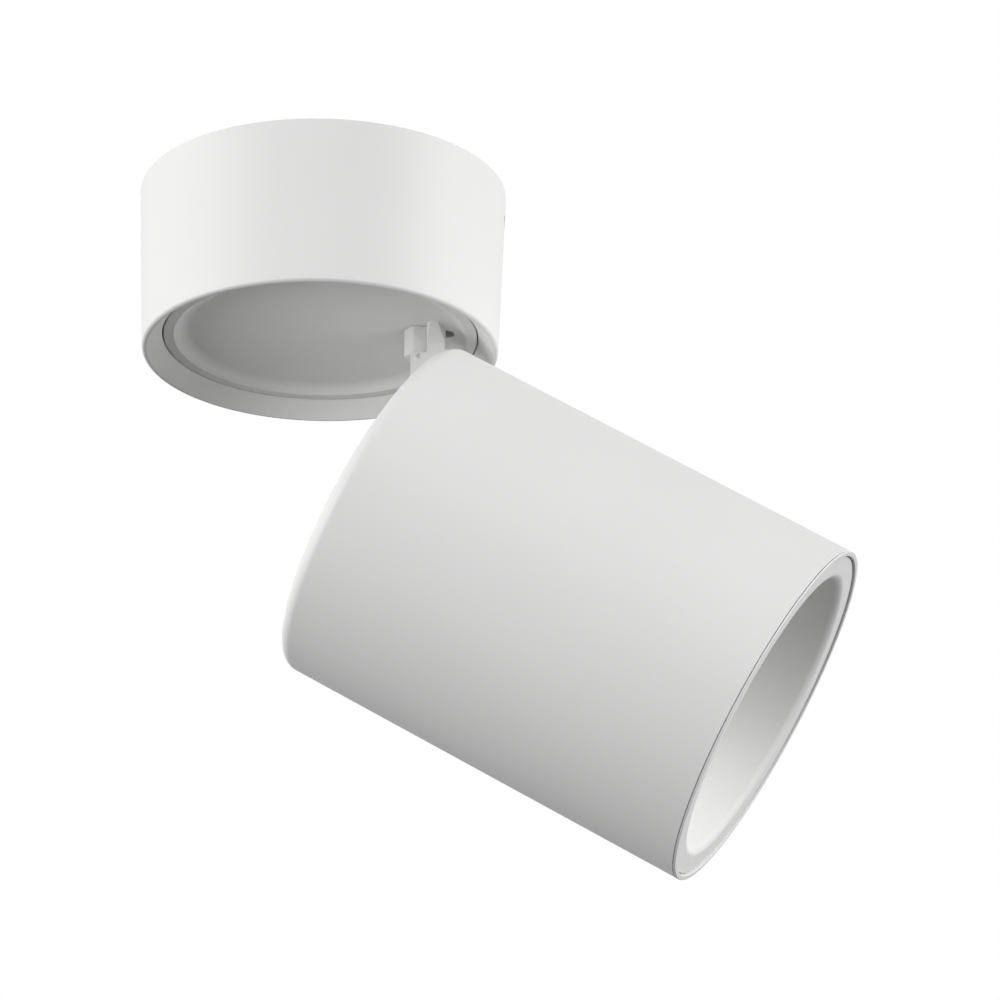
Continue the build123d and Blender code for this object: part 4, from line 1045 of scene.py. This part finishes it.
def floor_paint(name, colour):
    """A pale floor to the camera that throws little light back up at the lamp."""
    made, nodes, links, shader, places = material(name, colour, 0.7)
    tint(nodes, links, noise(nodes, links, places, 3.0), shade(colour, 0.99), colour, shader)
    dim = nodes.new("ShaderNodeBsdfDiffuse")
    dim.inputs["Color"].default_value = (0.06, 0.06, 0.06, 1)
    surface = choose_by_ray(
        nodes,
        links,
        ("Is Camera Ray", "Is Glossy Ray"),
        dim.outputs["BSDF"],
        shader.outputs["BSDF"],
    )
    links.new(surface, nodes["Material Output"].inputs["Surface"])
    return made


def light_world(scene, backdrop):
    """Soft light that is strongest a little above the horizon, behind a plain white backdrop."""
    world = bpy.data.worlds.new("studio")
    scene.world = world
    world.use_nodes = True
    nodes, links = world.node_tree.nodes, world.node_tree.links
    nodes.clear()
    places = nodes.new("ShaderNodeTexCoord")
    parts = nodes.new("ShaderNodeSeparateXYZ")
    links.new(places.outputs["Generated"], parts.inputs["Vector"])
    height = nodes.new("ShaderNodeMapRange")
    height.inputs["From Min"].default_value = -1.0
    links.new(parts.outputs["Z"], height.inputs["Value"])
    ramp = nodes.new("ShaderNodeValToRGB")
    links.new(height.outputs["Result"], ramp.inputs["Fac"])
    stops = ramp.color_ramp.elements
    for place, level in SKY:
        inside = -1.0 < place < 1.0
        stop = stops.new((place + 1) / 2) if inside else stops[-1 if place > 0 else 0]
        stop.color = (level, level, level, 1)
    soft = nodes.new("ShaderNodeBackground")
    links.new(ramp.outputs["Color"], soft.inputs["Color"])
    seen = nodes.new("ShaderNodeBackground")
    seen.inputs["Color"].default_value = (*backdrop, 1)
    surface = choose_by_ray(
        nodes,
        links,
        ("Is Camera Ray", "Is Transmission Ray"),
        soft.outputs["Background"],
        seen.outputs["Background"],
    )
    output = nodes.new("ShaderNodeOutputWorld")
    links.new(surface, output.inputs["Surface"])


class StageOperator(bpy.types.Operator):
    """Sets the floor, the soft light and the camera."""

    bl_idname = "spotlight.stage"
    bl_label = "Stage"

    def execute(self, context):
        stage, colours = context.scene.spot_stage, context.scene.spot_colours
        middle = Vector((50 * MM, 0, -80 * MM))
        # floor
        deselect()
        bpy.ops.mesh.primitive_plane_add(size=16, location=(0, 0, stage.floor))
        floor = bpy.context.object
        floor.name = "floor"
        dress(floor, floor_paint("floor_white", (0.8, 0.8, 0.8)))
        light_world(context.scene, tuple(colours.backdrop))
        for name, place, power in LAMPS:
            area_lamp(name, place, middle, power)
        # camera
        azimuth, elevation, roll = stage.azimuth, stage.elevation, stage.roll
        forward = Vector(
            (sin(azimuth) * cos(elevation), cos(azimuth) * cos(elevation), sin(elevation))
        )
        level = forward.cross(Vector((0, 0, 1))).normalized()
        upward = level.cross(forward)
        right = cos(roll) * level + sin(roll) * upward
        top = cos(roll) * upward - sin(roll) * level
        aside, below = SPOT[0] - PICTURE / 2, SPOT[1] - PICTURE / 2
        place = middle - stage.distance * (
            forward + aside / FOCAL * right - below / FOCAL * top
        )
        deselect()
        bpy.ops.object.camera_add(location=place)
        camera = bpy.context.object
        camera.name = "camera"
        turn = Matrix((right, top, -forward)).transposed()
        camera.rotation_euler = turn.to_euler()
        camera.data.sensor_width = SENSOR
        camera.data.lens = FOCAL * SENSOR / PICTURE
        camera.data.clip_end = 50.0
        bpy.context.scene.camera = camera
        bpy.context.scene.view_settings.view_transform = "Standard"
        return {"FINISHED"}


# ---------------------------------------------------------------- add-on


class SpotlightPanel(bpy.types.Panel):
    """Lists the lamp's pieces in the sidebar."""

    bl_idname = "VIEW3D_PT_spotlight"
    bl_label = "Ceiling Spotlight"
    bl_space_type = "VIEW_3D"
    bl_region_type = "UI"
    bl_category = "Spotlight"

    def draw(self, context):
        for operator in OPERATORS:
            self.layout.operator(operator.bl_idname)


SETTINGS = {
    "spot_drum": DrumSizes,
    "spot_dish": DishSizes,
    "spot_arm": ArmSizes,
    "spot_head": HeadSizes,
    "spot_colours": FinishColours,
    "spot_stage": StageSizes,
}
OPERATORS = (
    FinishesOperator,
    HiddenPartsOperator,
    DrumOperator,
    DishOperator,
    NutOperator,
    ArmOperator,
    HeadOperator,
    FrontRingOperator,
    BaffleOperator,
    StageOperator,
)


def register():
    """Registers the settings, the operators and the panel."""
    for group in (*SETTINGS.values(), *OPERATORS, SpotlightPanel):
        bpy.utils.register_class(group)
    for name, group in SETTINGS.items():
        setattr(bpy.types.Scene, name, PointerProperty(type=group))


def unregister():
    """Takes them away again."""
    for name in SETTINGS:
        delattr(bpy.types.Scene, name)
    for group in reversed((*SETTINGS.values(), *OPERATORS, SpotlightPanel)):
        bpy.utils.unregister_class(group)


def main():
    """Makes the whole lamp."""
    register()
    for operator in OPERATORS:
        area, name = operator.bl_idname.split(".")
        getattr(getattr(bpy.ops, area), name)()


if __name__ == "__main__":
    main()
